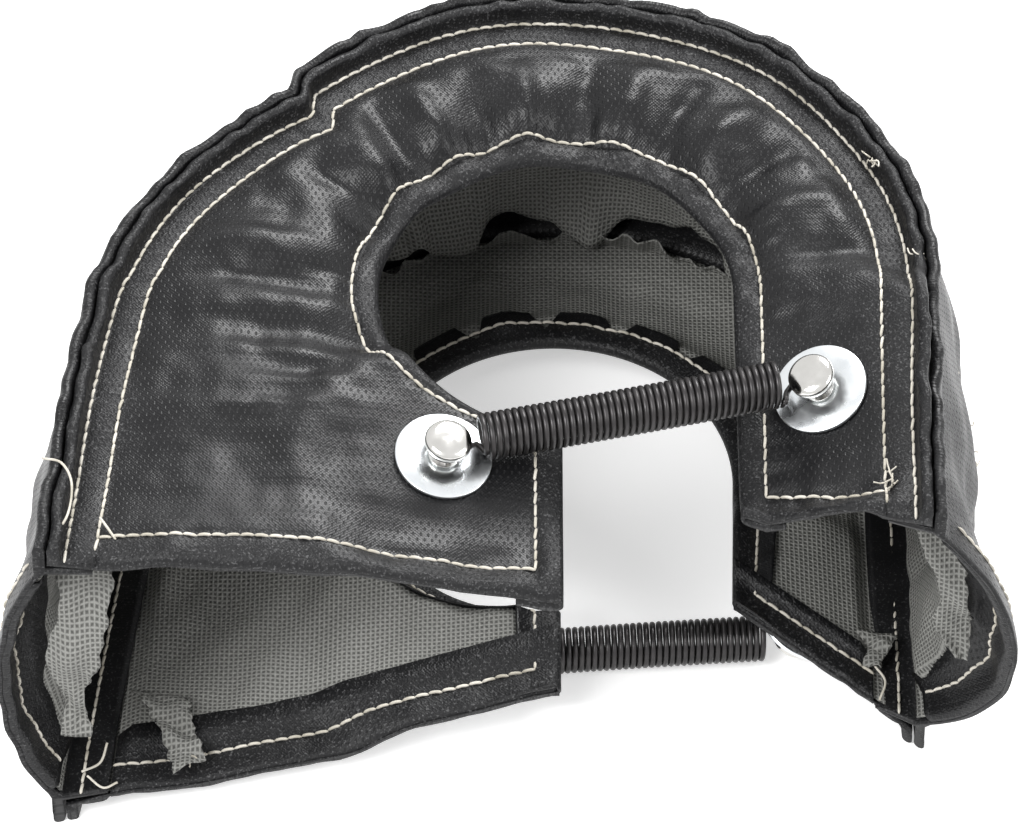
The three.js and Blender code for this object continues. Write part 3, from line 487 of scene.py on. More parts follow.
UPPER = SimpleNamespace(
    name="upper",
    side=1,
    level=LOWER_LEVEL + FACE_DISTANCE,
    fronts={"left_outer": -94, "left_inner": -96.5, "right_outer": -82.5, "right_inner": -66},
    hole_radius=HOLE_RADIUS,
    fall={"arc": 5, "left": 10, "right": 9},
    puff=3.2,
    seats=[SEATS["upper_left"], SEATS["upper_right"]],
    creases=UPPER_CREASES,
    seed=11,
    notches=None,
)
LOWER = SimpleNamespace(
    name="lower",
    side=-1,
    level=LOWER_LEVEL,
    fronts={"left_outer": -101, "left_inner": -73, "right_outer": -77.5, "right_inner": -48},
    hole_radius=HOLE_RADIUS + LOWER_HOLE_EXTRA,
    fall={"arc": 9, "left": 5, "right": 14},
    puff=2.2,
    seats=[SEATS["lower_left"], SEATS["lower_right"]],
    creases=LOWER_CREASES,
    seed=23,
    notches=np.linspace(*NOTCH_ANGLES, NOTCH_COUNT),
)


def hole_centre():
    """Where the hole's centre lies in the part's frame, from the box of one washer."""
    low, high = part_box("upper_left_washer")
    seat = SEATS["upper_left"]
    middle = (np.array(low) + np.array(high)) / (2 * MM)
    return middle - np.array(seat.at) - normal_of(seat) * sum(WASHER_FACES) / 2


HOLE_CENTRE = hole_centre()


# Meshes


def grid_faces(rows, columns, ring=False):
    """Quads of a grid of points, last column joined to the first, in a ring the last row too."""
    index = np.arange(rows * columns).reshape(rows, columns)
    if ring:
        index = np.concatenate([index, index[:1]], 0)
    index = np.concatenate([index, index[:, :1]], 1)
    corners = [index[:-1, :-1], index[:-1, 1:], index[1:, 1:], index[1:, :-1]]
    return np.stack([corner.ravel() for corner in corners], -1)


def signed_volume(points, quads):
    """Six times the volume that the quads enclose, positive when they face out."""
    a, b, c, d = (points[quads[:, k]] for k in range(4))
    return np.einsum("ij,ij->", a, np.cross(b, c)) + np.einsum("ij,ij->", a, np.cross(c, d))


def make_piece(name, points, quads, caps, finish, slot, uv=None, matt=None):
    """A smooth mesh piece in metres, set round the hole's centre, its UV map in plan or as given."""
    points = np.asarray(points, float).reshape(-1, 3)
    faces = [*quads.tolist(), *[list(cap) for cap in caps]]
    mesh = bpy.data.meshes.new(name)
    placed = (points + HOLE_CENTRE) * MM
    mesh.from_pydata(placed.tolist(), [], faces)
    mesh.polygons.foreach_set("use_smooth", np.ones(len(mesh.polygons), bool))
    flat = points[:, :2] if uv is None else np.asarray(uv, float).reshape(-1, 2)
    corners = np.empty(len(mesh.loops), np.int32)
    mesh.loops.foreach_get("vertex_index", corners)
    layer = mesh.uv_layers.new(name="weave")
    layer.data.foreach_set("uv", (flat[corners] / UV_UNIT).astype(np.float32).ravel())
    if matt is not None:
        attribute = mesh.attributes.new("matt", "FLOAT", "POINT")
        attribute.data.foreach_set("value", np.asarray(matt, np.float32).ravel())
    mesh.materials.append(finish)
    mesh.update()
    piece = bpy.data.objects.new(name, mesh)
    bpy.context.scene.collection.objects.link(piece)
    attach(piece, "root")
    return piece


def skin(grids):
    """Closed tubes of rings as one set of points, quads facing out, and end caps."""
    points, quads, caps, count = [], [], [], 0
    for grid in grids:
        rows, columns = grid.shape[:2]
        flat = grid.reshape(-1, 3)
        faces = grid_faces(rows, columns)
        ends = [np.arange(columns)[::-1], (rows - 1) * columns + np.arange(columns)]
        if signed_volume(flat, faces) < 0:
            faces = faces[:, ::-1]
            ends = [end[::-1] for end in ends]
        points.append(flat)
        quads.append(faces + count)
        caps.extend(end + count for end in ends)
        count += len(flat)
    return np.concatenate(points), np.concatenate(quads), caps


def place_row(start, end, step):
    """Places from start to end, close enough for points about a step apart on the outer seam."""
    marks = np.unique(np.concatenate([[start, end], np.arange(math.ceil(start), math.floor(end) + 1)]))
    runs = seam_run(marks)
    pieces = [
        np.linspace(a, b, max(2, math.ceil((d - c) / step)) + 1)[:-1]
        for a, b, c, d in zip(marks[:-1], marks[1:], runs[:-1], runs[1:])
    ]
    return np.concatenate([*pieces, [end]])[:, None]


def lip_profile(ends, top, place, seed):
    """Across and depth round a rolled lip: up its outer side, over a half round, down its inner side."""
    run = seam_run(place)
    middle, half = (ends[0] + ends[1]) / 2, (ends[1] - ends[0]) / 2
    turn = np.linspace(np.pi, 0, 9)[None, :]
    crest = top - half + 0.5 * wander(run, 19, seed) + 0.25 * wander(run, 7, seed + 1)
    rise = np.concatenate([np.linspace(0.2, 0.85, 4)[None, :] * crest, crest + half * np.sin(turn)], 1)
    spread = np.concatenate([np.full((1, 4), -1.0), np.cos(turn)], 1)
    pinch = 1 - 0.1 * bell(rise, 0.35 * top, 1.2)
    lean = (0.55 * wander(run, 26, 5) + 0.2 * wander(run, 9, 6)) * (rise / top) ** 1.5
    return middle + half * spread * pinch + lean, -rise


def end_drop(lines, across):
    """How far the cloth turns down over a leg's end, a quarter round of 2 mm."""
    first = np.interp(lines.place, [0, 1], [0, LEG_STITCH])
    last = np.interp(lines.place, [PLACES - 1, PLACES], [LEG_STITCH, 0])
    to_end = np.minimum(np.where(lines.place <= 1, first, LEG_STITCH), last)
    fold = np.clip(2 - to_end, 0, 2)
    return (2 - np.sqrt(4 - fold**2)) * ease(across, 14, 16.5)


def hem_reach(face, lines):
    """Reach of the turned hem round the hole, cut back to a point at each notch."""
    reach = np.full(lines.place.shape, float(HOLE_HEM))
    if face.notches is not None:
        for angle in face.notches:
            away = np.abs(np.radians(lines.angle - angle)) * (face.hole_radius + NOTCH_RING)
            reach = np.minimum(reach, NOTCH_REACH + NOTCH_SLOPE * np.maximum(away - NOTCH_HALF_WIDTH, 0))
    return reach


def face_cloth_grid(face, place):
    """Closed section of a face's cloth at each place: lip, face, folded edge, hem, and back inside."""
    lines = crossing_lines(face, place)
    length = lines.length
    full = fullness(place)
    columns = []

    def add(across, depth, standing=0.0):
        across, depth = np.broadcast_arrays(across, depth)
        across = np.broadcast_to(across, (len(place), across.shape[1]))
        depth = np.broadcast_to(depth, across.shape)
        columns.append((across, depth + end_drop(lines, across), np.full(across.shape, standing)))

    lip_across, lip_depth = lip_profile(FACE_LIP, LIP_HEIGHT, place, 31)
    add(np.full((1, 1), FACE_LIP[0]), np.full((1, 1), CLOTH))
    add(lip_across, lip_depth if face.side > 0 else np.maximum(lip_depth, -LIP_HEIGHT))
    add(np.array([[6.95, 7.1, 7.5]]), np.array([[-2.2, -0.9, -0.2]]))
    strip = np.linspace(ROW_ONE, ROW_TWO, 9)[None, :]
    sunk = 0.25 * (bell(strip, ROW_ONE, 0.9) + bell(strip, ROW_TWO, 0.9))
    run = seam_run(place)
    pucker = 0.22 * wander(run, 5, 41) * np.sin(np.pi * (strip - ROW_ONE) / (ROW_TWO - ROW_ONE))
    add(strip, sunk - 0.35 * np.sin(np.pi * (strip - ROW_ONE) / (ROW_TWO - ROW_ONE)) - pucker)
    share = np.linspace(0, 1, 48)[None, 1:]
    field = mix(ROW_TWO, length - HOLE_STITCH, share)
    ring = np.radians(lines.angle) * face.hole_radius + np.where(place > RIGHT_TURN, -lines.right * 60, 0)
    tight = 0.3 * wander(ring, 6, 43) * bell(field, length - HOLE_STITCH - 3, 5)
    front = np.minimum(
        np.interp(place, [0, 1, 2], [0, LEG_STITCH, LEG_HEM_LEFT]),
        np.interp(place, [PLACES - 2, PLACES - 1, PLACES], [LEG_HEM_RIGHT, LEG_STITCH, 0]),
    )
    row = 0.5 * bell(front, LEG_STITCH, 1.6) * ease(field, ROW_TWO, ROW_TWO + 2)
    ribs = 0.35 * wander(field, 8, 47) * bell(front, LEG_STITCH / 2, 4)
    add(field, 0.6 * share**30 + row - tight - ribs, 1.0)
    hem = np.linspace(0, 1, 9)[None, 1:]
    hem_across = length - HOLE_STITCH + hem * (HOLE_STITCH - 2)
    ridge = 0.35 * wander(ring, 7, 45) * np.sin(np.pi * hem)
    add(hem_across, 0.6 * (1 - hem) ** 2 - 0.35 * np.sin(np.pi * hem) - ridge, 0.35)
    fold = np.linspace(np.pi / 2, -np.pi / 2, 8)[None, 1:]
    add(length - 2 + 2 * np.cos(fold), 2 - 2 * np.sin(fold))
    reach = hem_reach(face, lines)
    under = np.linspace(0, 1, 6)[None, 1:]
    add(mix(length - 2, length - np.minimum(HOLE_STITCH, reach), under), np.full((1, 5), HEM_BOTTOM))
    flap = np.linspace(0, 1, 6)[None, 1:]
    deep = np.clip((reach - HOLE_STITCH) / (HOLE_HEM - HOLE_STITCH), 0, 1) * full
    flap_across = mix(length - np.minimum(HOLE_STITCH, reach), length - reach, flap)
    add(flap_across, HEM_BOTTOM + (DEEP_BOTTOM - HEM_BOTTOM) * deep * flap)
    add(flap_across[:, ::-1], HEM_TOP + (DEEP_TOP - HEM_TOP) * deep * flap[:, ::-1])
    add(length - np.array([[1.5, 1.1, 1.1, 1.5]]), np.array([[3.0, 2.6, 1.6, 1.2]]))
    inside = np.linspace(0, 1, 30)[None, :]
    add(mix(length - HOLE_STITCH, ROW_TWO, inside), np.full((1, 30), CLOTH))
    across, depth, standing = (np.concatenate(parts, 1) for parts in zip(*columns))
    grid = face_point(face, place, across, depth, standing)
    # Matt share: seam strip, hem round the hole and leg ends. The cloth finish roughens these and puts its
    # speckle there, partly worn threads and partly painted glints.
    matt = (1 - ease(across, ROW_TWO - 1, ROW_TWO + 6)) + ease(across, length - 9, length - 6)
    return grid, matt + bell(front, 0, 9)


def hem_profile(reach):
    """A turned hem round its fold: places back from the end, depth, and share of the deep part."""
    half = (LEG_STITCH + reach) / 2
    turn = np.linspace(np.pi / 2, -np.pi / 2, 9)
    out = np.concatenate([[2.4], 2 - 2 * np.cos(turn), [5, LEG_STITCH, half, reach]])
    back = np.concatenate([out, [reach, half, LEG_STITCH, 5, 2.4, 1.2, 1.2, 2.4]])
    under = np.concatenate([[0.05], 2.03 - 1.98 * np.sin(turn), [HEM_BOTTOM] * 4])
    below = np.concatenate([under, [HEM_TOP] * 5, [2.6, 1.5, 1.1]])
    sunk = np.concatenate([np.zeros(12), [0.5, 1, 1, 0.5], np.zeros(6)])
    return np.interp(back, [0, LEG_STITCH, reach], [0, 1, 2]), below, sunk


def hem_section(at_right):
    """A leg's hem in section: places along it and back from its end, depth, and deep part."""
    back, below, sunk = hem_profile(LEG_HEM_RIGHT if at_right else LEG_HEM_LEFT)
    place = PLACES - back if at_right else back
    return place[None, :], back, below[None, :], (DEEP_TOP - HEM_TOP) * sunk[None, :]


def leg_hem_grid(face, at_right):
    """Hem turned in at a leg's end: rings over the fold, at distances in from the seam."""
    place, back, below, deep = hem_section(at_right)
    length = crossing_lines(face, place).length
    share = np.linspace(0, 1, 60)[:, None]
    across = mix(ROW_TWO + 0.2, length - 0.5, share)
    wave = 0.3 * wander(across[:, :1], 9, 51 + at_right)
    depth = below + deep * ease(across, ROW_TWO, FILL_START)
    return face_point(face, place, across, depth + wave * bell(back, 0.4, 0.6)[None, :])


def make_face_cloth(face, finish):
    """A face's outer cloth with the hems at its two leg ends."""
    place = place_row(0, PLACES, 1.7)
    grid, matt = face_cloth_grid(face, place)
    hems = [leg_hem_grid(face, False), leg_hem_grid(face, True)]
    points, quads, caps = skin([grid, *hems])
    rough = np.concatenate([matt.ravel(), np.ones(sum(hem.shape[0] * hem.shape[1] for hem in hems))])
    piece = make_piece(
        f"{face.name}_quilted_face", points, quads, caps, finish, "outer_cloth",
        matt=np.clip(rough, 0, 1),
    )
    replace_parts(piece, f"{face.name}_face_cloth")


def make_face_felt(face, finish):
    """The felt between a face's cloth and liner."""
    place = place_row(2, PLACES - 2, 4)
    length = crossing_lines(face, place).length
    share = np.linspace(0, 1, 18)[None, :]
    across = mix(FILL_START, length - HOLE_HEM, share)
    layers = [across, across[:, ::-1]]
    depths = [np.full(across.shape, depth) for depth in FELT]
    grid = face_point(face, place, np.concatenate(layers, 1), np.concatenate(depths, 1))
    piece = make_piece(f"{face.name}_felt_filling", *skin([grid]), finish, "felt")
    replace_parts(piece, f"{face.name}_face_felt")


def raised_edge(face, place):
    """How much the liner's outer edge rides over the seam flange: all of it round the lower back."""
    if face.side > 0:
        return np.zeros(place.shape)
    return ease(place, 6, 8) * (1 - ease(place, 20, 23))


def flap_grid():
    """The lower liner's raw edge, standing up from the seam: its height by angle, leaning in with it."""
    place = np.linspace(9, 20, 170)[:, None]
    run = seam_run(place)
    rise = np.interp(crossing_lines(LOWER, place).angle, FLAP_ANGLES, FLAP_HEIGHTS)
    rise = np.maximum(rise + 0.8 * wander(run, 5, 111), 0.4)
    share = np.linspace(0, 1, 10)[None, :]
    across = 6.5 + 0.5 * rise * share**1.3 + 1.3 * wander(run, 13, 113) * share
    height = LOWER_LEVEL + 5 + rise * share
    sheet = np.concatenate([across, across[:, ::-1] + 0.6], 1)
    return band_point(place, sheet, np.concatenate([height, height[:, ::-1]], 1))


def curve(points, steps=10):
    """Smooth path through points: a Catmull-Rom spline."""
    path = np.asarray(points, float)
    path = np.concatenate([2 * path[:1] - path[1:2], path, 2 * path[-1:] - path[-2:-1]])
    t = np.linspace(0, 1, steps, endpoint=False)[:, None]
    spans = [
        b + 0.5 * ((c - a) * t + (2 * a - 5 * b + 4 * c - d) * t**2 + (3 * b - a - 3 * c + d) * t**3)
        for a, b, c, d in zip(path[:-3], path[1:-2], path[2:-1], path[3:])
    ]
    return np.concatenate([*spans, path[-2:-1]])


def tear_grid(edges, seed):
    """A torn bit of cloth between two edges, waved out of its plane, its edges ragged."""
    left, right = (curve(edge)[:, None, :] for edge in edges)
    run = np.linspace(0, 40, len(left))[:, None]
    share = np.linspace(0, 1, 14)[None, :]
    ragged = share + 0.05 * wander(run, 5, seed) * (1 - share) + 0.05 * wander(run, 4, seed + 1) * share
    sheet = mix(left, right, ragged[..., None])
    normal = unit(np.cross(np.gradient(sheet, axis=0), right - left))
    wave = 1.1 * crumple(run + 0 * share, 14 * share, 13, seed + 2)
    sheet = sheet + normal * wave[..., None]
    return np.concatenate([sheet, sheet[:, ::-1] + 0.5 * normal[:, ::-1]], 1)


def make_face_liner(face, finish):
    """The woven liner: thin at the seams, below the felt between them, a little slack."""
    place = place_row(0.2, PLACES - 0.2, 2.5)
    length = crossing_lines(face, place).length
    share = np.linspace(0, 1, 42)[None, :]
    raised = raised_edge(face, place)
    across = mix(LINER_START - RAISED_OUT * raised, length - 1.6, share)
    over = RAISED_LIFT * raised * (1 - ease(across, ROW_TWO, FILL_START))
    rise = ease(across, ROW_TWO, FILL_START)
    fall = 1 - ease(across, length - HOLE_HEM, length - HOLE_STITCH)
    full = fullness(place) * np.where(across < FILL_START, rise, fall)
    spot = face_point(face, place, across, 0)
    slack = 0.45 * crumple(spot[..., 0], spot[..., 1], 22, face.seed + 5) * full
    layers = [
        mix(thin, thick, full) + over + np.maximum(slack, -0.3)
        for thin, thick in zip(THIN_LINER, FULL_LINER)
    ]
    section = np.concatenate([across, across[:, ::-1]], 1)
    grid = face_point(face, place, section, np.concatenate([layers[0], layers[1][:, ::-1]], 1))
    grids, flats = [grid], [grid[..., :2].reshape(-1, 2)]
    if face.side < 0:
        grids.append(flap_grid())
        flats.append(grids[-1][..., [0, 2]].reshape(-1, 2))
        grids += [tear_grid(edges, 115 + k) for k, edges in enumerate(FACE_TEARS)]
        flats += [tear[..., :2].reshape(-1, 2) for tear in grids[2:]]
    uv = np.concatenate(flats)
    piece = make_piece(f"{face.name}_woven_liner", *skin(grids), finish, "liner", uv=uv)
    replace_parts(piece, f"{face.name}_face_liner")


# Band


def bag_depth(place):
    """How far the band bags out at mid height: most at the leg ends, with a slow buckle."""
    lines = crossing_lines(UPPER, place)
    side = np.clip((lines.angle - 90) / 90, 0, 1)
    right_back = mix(BAG_RIGHT[0], BAG_BACK, lines.angle / 90)
    around = np.where(lines.angle > 90, mix(BAG_BACK, BAG_SIDE, side), right_back)
    depth = np.where(place > RIGHT_TURN, mix(*BAG_RIGHT, lines.right), around)
    depth = np.where(place < LEFT_TURN, mix(*BAG_LEFT, lines.left), depth)
    settle = ease(place, LEFT_TURN, LEFT_SIDE)
    turning = (place >= LEFT_TURN) & (place < LEFT_SIDE)
    depth = np.where(turning, mix(BAG_LEFT[0], BAG_SIDE, settle), depth)
    return depth + BAG_WAVE * np.sin(BAG_WAVE_TURN * place)


def band_point(place, across, height):
    """A point of the band: plan lines blend from the lower seam's to the upper seam's with height."""
    place, across, height = np.broadcast_arrays(place, across, height)
    up, low = crossing_lines(UPPER, place), crossing_lines(LOWER, place)
    rise = np.clip((height - LOWER_LEVEL) / FACE_DISTANCE, 0, 1)[..., None]
    inward = unit(mix(low.inward, up.inward, rise))
    spot = mix(low.outer, up.outer, rise) + inward * across[..., None]
    return np.concatenate([spot, height[..., None]], -1)


def upper_seam_height(place):
    """Height of the upper seam."""
    return UPPER.level + SEAM_WAVE * np.sin(SEAM_WAVE_TURN * place)


def wall_out(place, level):
    """How far the wall stands out at a level: the bag times 1 - |2q - 1|^2.2, with folds."""
    run = seam_run(place)
    share = np.clip((level - 0.06) / 0.88, 0, 1)
    bag = bag_depth(place) * (1 - np.abs(2 * share - 1) ** BAG_POWER)
    slack = np.sin(np.pi * share)
    folds = 1.1 * wander(run + 14 * level, 34, 61) + 0.45 * crumple(run, level * 94, 16, 63)
    return bag + slack * folds


def wall_point(place, level, depth):
    """A point a depth inside the wall's outer surface."""
    return band_point(place, depth - wall_out(place, level), LOWER_LEVEL + FACE_DISTANCE * level)


def band_cloth_grid(place):
    """Closed section of the band's cloth: flange, lip, wall, lip, flange, and back inside."""
    top = upper_seam_height(place)
    low = np.full_like(top, LOWER_LEVEL)
    sections = []

    def add(across, height):
        across, height = np.broadcast_arrays(across, height)
        across = np.broadcast_to(across, (len(place), across.shape[1]))
        sections.append(band_point(place, across, np.broadcast_to(height, across.shape)))

    def flange(start, end):
        return mix(FLANGE_END, BAND_LIP[1] - 0.2, np.linspace(start, end, 6)[None, :])

    upper_across, upper_depth = lip_profile(BAND_LIP, LIP_HEIGHT, place, 35)
    lower_across, lower_depth = lip_profile(BAND_LIP, LIP_HEIGHT, place, 37)
    add(flange(0, 1), top - HEM_TOP - ROW_PRESS)
    add(upper_across[:, ::-1], top - upper_depth[:, ::-1])
    levels = np.linspace(0.95, 0.05, 40)[None, :]
    pinch = 0.35 * bell(levels, 0.95, 0.03) + 0.35 * bell(levels, 0.05, 0.03)
    sections.append(wall_point(place, levels, pinch))
    foot = np.minimum(-lower_depth, LIP_HEIGHT)
    add(lower_across, low - foot)
    add(flange(1, 0), low + HEM_TOP + ROW_PRESS)
    add(flange(1, 0)[:, ::-1], low + HEM_BOTTOM + ROW_PRESS)
    add(np.full((1, 1), CLOTH + 0.6), low + HEM_BOTTOM + ROW_PRESS + 1)
    inner = np.linspace(0.08, 0.92, 26)[None, :]
    sections.append(wall_point(place, inner, CLOTH))
    add(np.full((1, 1), CLOTH + 0.6), top - HEM_BOTTOM - ROW_PRESS - 1)
    add(flange(1, 0), top - HEM_BOTTOM - ROW_PRESS)
    return np.concatenate(sections, 1)


def band_hem_grid(at_right):
    """Hem turned in at the band's end, from its lower seam up to its upper one."""
    place, _, below, deep = hem_section(at_right)
    level = np.linspace(0.09, 0.91, 50)[:, None]
    return wall_point(place, level, below + deep * np.sin(np.pi * level) ** 0.5)


def make_band_cloth(finish):
    """The band's outer cloth with the hems at its two ends."""
    place = place_row(0, PLACES, 1.8)
    grids = [band_cloth_grid(place), band_hem_grid(False), band_hem_grid(True)]
    points, quads, caps = skin(grids)
    rows = [np.broadcast_to(seam_run(place), grids[0].shape[:2]).ravel()]
    rows += [grid[..., 1].ravel() for grid in grids[1:]]
    uv = np.stack([np.concatenate(rows), points[:, 2]], -1)
    piece = make_piece(
        "band_wall", points, quads, caps, finish, "outer_cloth", uv=uv,
        matt=np.full(len(points), 0.6),
    )
    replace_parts(piece, "band_cloth")


def make_band_felt(finish):
    """The felt between the band's cloth and liner."""
    place = place_row(2, PLACES - 2, 4)
    level = np.linspace(0.26, 0.88, 22)[None, :]
    layers = [wall_point(place, level, FELT[0]), wall_point(place, level[:, ::-1], FELT[1])]
    grid = np.concatenate(layers, 1)
    piece = make_piece("band_felt_filling", *skin([grid]), finish, "felt")
    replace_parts(piece, "band_felt")


def ruffle_edge(place):
    """Height of the liner's raw lower edge above the seam, and how far it flares inward."""
    lines = crossing_lines(UPPER, place)
    run = seam_run(place)
    on_legs = np.maximum(lines.left, lines.right) > 0
    loose = np.where(on_legs, 0, np.maximum(0, np.sin(np.radians(lines.angle))))
    wave = 0.5 + 0.5 * np.cos(np.radians(RUFFLE_COUNT * lines.angle) + 1.3 * wander(run, 60, 71))
    torn = np.maximum(0, wander(run, 17, 73))
    return loose * (3 + 9 * (1 - wave) + 3.5 * torn), loose * (7 * wave + 1.5 * torn), loose


def make_band_liner(finish):
    """The band's woven liner: its raw lower edge stands off the wall in ruffles round the back."""
    place = place_row(0.2, PLACES - 0.2, 1.4)
    lift, flare, loose = ruffle_edge(place)
    edge = LOWER_LEVEL + HEM_BOTTOM + ROW_PRESS + 1 + lift
    top = upper_seam_height(place) - HEM_BOTTOM - ROW_PRESS - 1
    share = np.linspace(0, 1, 40)[None, :]
    height = mix(edge, top, share)
    level = (height - LOWER_LEVEL) / FACE_DISTANCE
    free = (1 - ease(share, 0, 0.32)) ** 1.6
    full = fullness(place) * ease(level, 0.06, 0.12) * (1 - ease(level, 0.88, 0.94))
    run = seam_run(place)
    slack = 0.8 * np.abs(crumple(run, height, 26, 75)) * full
    sides = [
        mix(thin, thick, full) - wall_out(place, level) + flare * free + slack + 0.5
        for thin, thick in zip(THIN_LINER, FULL_LINER)
    ]
    across = np.concatenate([sides[0], sides[1][:, ::-1]], 1)
    grid = band_point(place, across, np.concatenate([height, height[:, ::-1]], 1))
    rows = np.broadcast_to(run, grid.shape[:2])
    tears = [tear_grid(edges, 121 + k) for k, edges in enumerate(BAND_TEARS)]
    uv = np.concatenate([
        np.stack([rows.ravel(), grid[..., 2].ravel()], -1),
        *[tear[..., [0, 2]].reshape(-1, 2) for tear in tears],
    ])
    piece = make_piece("band_woven_liner", *skin([grid, *tears]), finish, "liner", uv=uv)
    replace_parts(piece, "band_liner")
    wall = band_point(place, sides[1], height)
    length = float(seam_run(PLACES)) * MM


# Thread


def tube_rings(path, radius, guide, sides):
    """Rings round a path: its points plus the radius times a circle in the plane across it."""
    path = np.asarray(path, float)
    tangent = unit(np.gradient(path, axis=-2))
    guide = np.broadcast_to(guide, path.shape)
    out = unit(guide - np.sum(guide * tangent, -1, keepdims=True) * tangent)
    beside = np.cross(tangent, out)
    turn = 2 * np.pi * np.arange(sides) / sides
    circle = np.cos(turn)[:, None] * out[..., None, :] + np.sin(turn)[:, None] * beside[..., None, :]
    radius = np.broadcast_to(radius, path.shape[:-1])[..., None, None]
    return path[..., None, :] + radius * circle


def stitch_grids(path, normal, seed):
    """All stitches of one row: short tubes, each slanted a little, that dip in at both ends."""
    rng = np.random.default_rng(seed)
    steps = np.linalg.norm(np.diff(path, axis=0), axis=1)
    run = np.concatenate([[0], np.cumsum(steps)])
    count = max(1, int(run[-1] / STITCH_PITCH))
    step = run[-1] / count
    share = np.linspace(0.01, 0.99, 7)
    length = step * (np.arange(count)[:, None] + share[None, :])
    points = np.stack([np.interp(length, run, path[:, k]) for k in range(3)], -1)
    along = unit(points[:, -1] - points[:, 0])
    normal = np.broadcast_to(normal, along.shape)
    beside = np.cross(along, normal)
    slant = rng.normal(0.12, 0.1, len(points))[:, None, None] * (share - 0.5)[None, :, None] * 2
    arch = np.sin(np.pi * share)[None, :, None]
    points = points + beside[:, None, :] * slant + normal[:, None, :] * (STITCH_RISE * arch - STITCH_SINK)
    taper = STITCH_RADIUS * np.clip(arch[0, :, 0] * 2.2, 0.45, 1)
    return list(tube_rings(points, taper[None, :], normal[:, None, :], 6))


def face_stitches(face):
    """Two rows along the seam, one round the hole and slot, one at each leg's end."""
    seam = np.linspace(0.05, PLACES - 0.05, 900)
    inner = np.linspace(1, PLACES - 1, 900)
    hem_line = crossing_lines(face, inner).length - HOLE_STITCH
    out = np.array([0, 0, face.side])
    row = 0.3 * wander(seam_run(seam), 60, 81)
    grids = stitch_grids(face_point(face, seam, ROW_ONE + row, 0.05), out, seed=83)
    second = np.linspace(0.5, PLACES - 0.4, 900)
    grids += stitch_grids(face_point(face, second, ROW_TWO, 0.05), out, seed=85)
    grids += stitch_grids(face_point(face, inner, hem_line, 0.5, 1.0), out, seed=87)
    grids += stitch_grids(face_point(face, inner, hem_line, HEM_BOTTOM + 0.1), -out, seed=89)
    grids += stitch_grids(face_point(face, seam, ROW_ONE, HEM_BOTTOM + ROW_PRESS - 0.1), -out, seed=91)
    for place in (1, PLACES - 1):
        length = float(crossing_lines(face, place).length)
        across = np.linspace(ROW_TWO, length - HOLE_STITCH, 200)
        grids += stitch_grids(face_point(face, place, across, 0.45), out, seed=93 + place)
        grids += stitch_grids(face_point(face, place, across, HEM_BOTTOM + 0.1), -out, seed=95 + place)
    return grids


def band_stitches():
    """A row down each end of the band, outside and inside."""
    grids = []
    level = np.linspace(0.1, 0.9, 200)
    for place, seed in ((1, 101), (PLACES - 1, 105)):
        line = crossing_lines(UPPER, place)
        out = np.array([-line.inward[0], -line.inward[1], 0])
        grids += stitch_grids(wall_point(place, level, 0.05), out, seed=seed)
        grids += stitch_grids(wall_point(place, level, HEM_BOTTOM + 0.1), -out, seed=seed + 2)
    return grids


def fray_grids(centre, reach, count, seed):
    """Short thread ends that spring from one spot in seeded directions."""
    rng = np.random.default_rng(seed)
    grids = []
    for _ in range(count):
        start = np.array(centre) + rng.normal(0, 0.6, 3)
        way = unit(rng.normal(0, 1, 3) * (1, 1, 0.45))
        bend = rng.normal(0, 0.25 * reach, 3)
        tip = start + way * reach * rng.uniform(0.5, 1.1)
        path = curve([start, (start + tip) / 2 + bend, tip + 0.5 * bend], 6)
        grids.append(tube_rings(path, FRAY_RADIUS, THREAD_GUIDE, 5))
    return grids


def loose_ends():
    """All loose threads and frays."""
    grids = [tube_rings(curve(points), LOOSE_RADIUS, THREAD_GUIDE, 6) for points in LOOSE_THREADS]
    for k, (centre, reach, count) in enumerate(FRAYS):
        grids += fray_grids(centre, reach, count, 131 + k)
    return grids


def make_threads(name, grids, finish):
    """Tubes of thread as one piece."""
    make_piece(name, *skin(grids), finish, "liner")


# Fittings


def seat_axes(seat):
    """Two directions in a washer's plane and its normal."""
    normal = normal_of(seat)
    first = unit(np.cross([0.0, 1.0, 0.0], normal))
    return first, np.cross(normal, first), normal


def turned_grid(seat, profile, sides):
    """A profile of radius and height pairs turned about a seat's normal, as a grid of rings."""
    first, second, normal = seat_axes(seat)
    turn = 2 * np.pi * np.arange(sides) / sides
    radius, height = np.asarray(profile, float).T
    circle = np.cos(turn)[:, None] * first + np.sin(turn)[:, None] * second
    return np.array(seat.at) + radius[:, None, None] * circle + height[:, None, None] * normal


def make_washer(name, seat, radius, faces, finish):
    """A flat washer with rounded edges."""
    low, high = faces
    edge = WASHER_EDGE
    rim = [
        (
            radius - edge + edge * math.cos(a),
            mix(low + edge, high - edge, 0.5 + 0.5 * math.sin(a)) + edge * math.sin(a),
        )
        for a in np.linspace(-np.pi / 2, np.pi / 2, 6)
    ]
    profile = [
        (SHANK_HOLE, high - edge),
        (SHANK_HOLE, low + edge),
        (SHANK_HOLE + edge, low),
        *rim,
        (SHANK_HOLE + edge, high),
    ]
    grid = turned_grid(seat, profile, WASHER_SIDES).transpose(1, 0, 2)
    flat = grid.reshape(-1, 3)
    quads = grid_faces(*grid.shape[:2], ring=True)
    if signed_volume(flat - np.array(seat.at), quads) < 0:
        quads = quads[:, ::-1]
    return make_piece(name, flat, quads, [], finish, "washer")


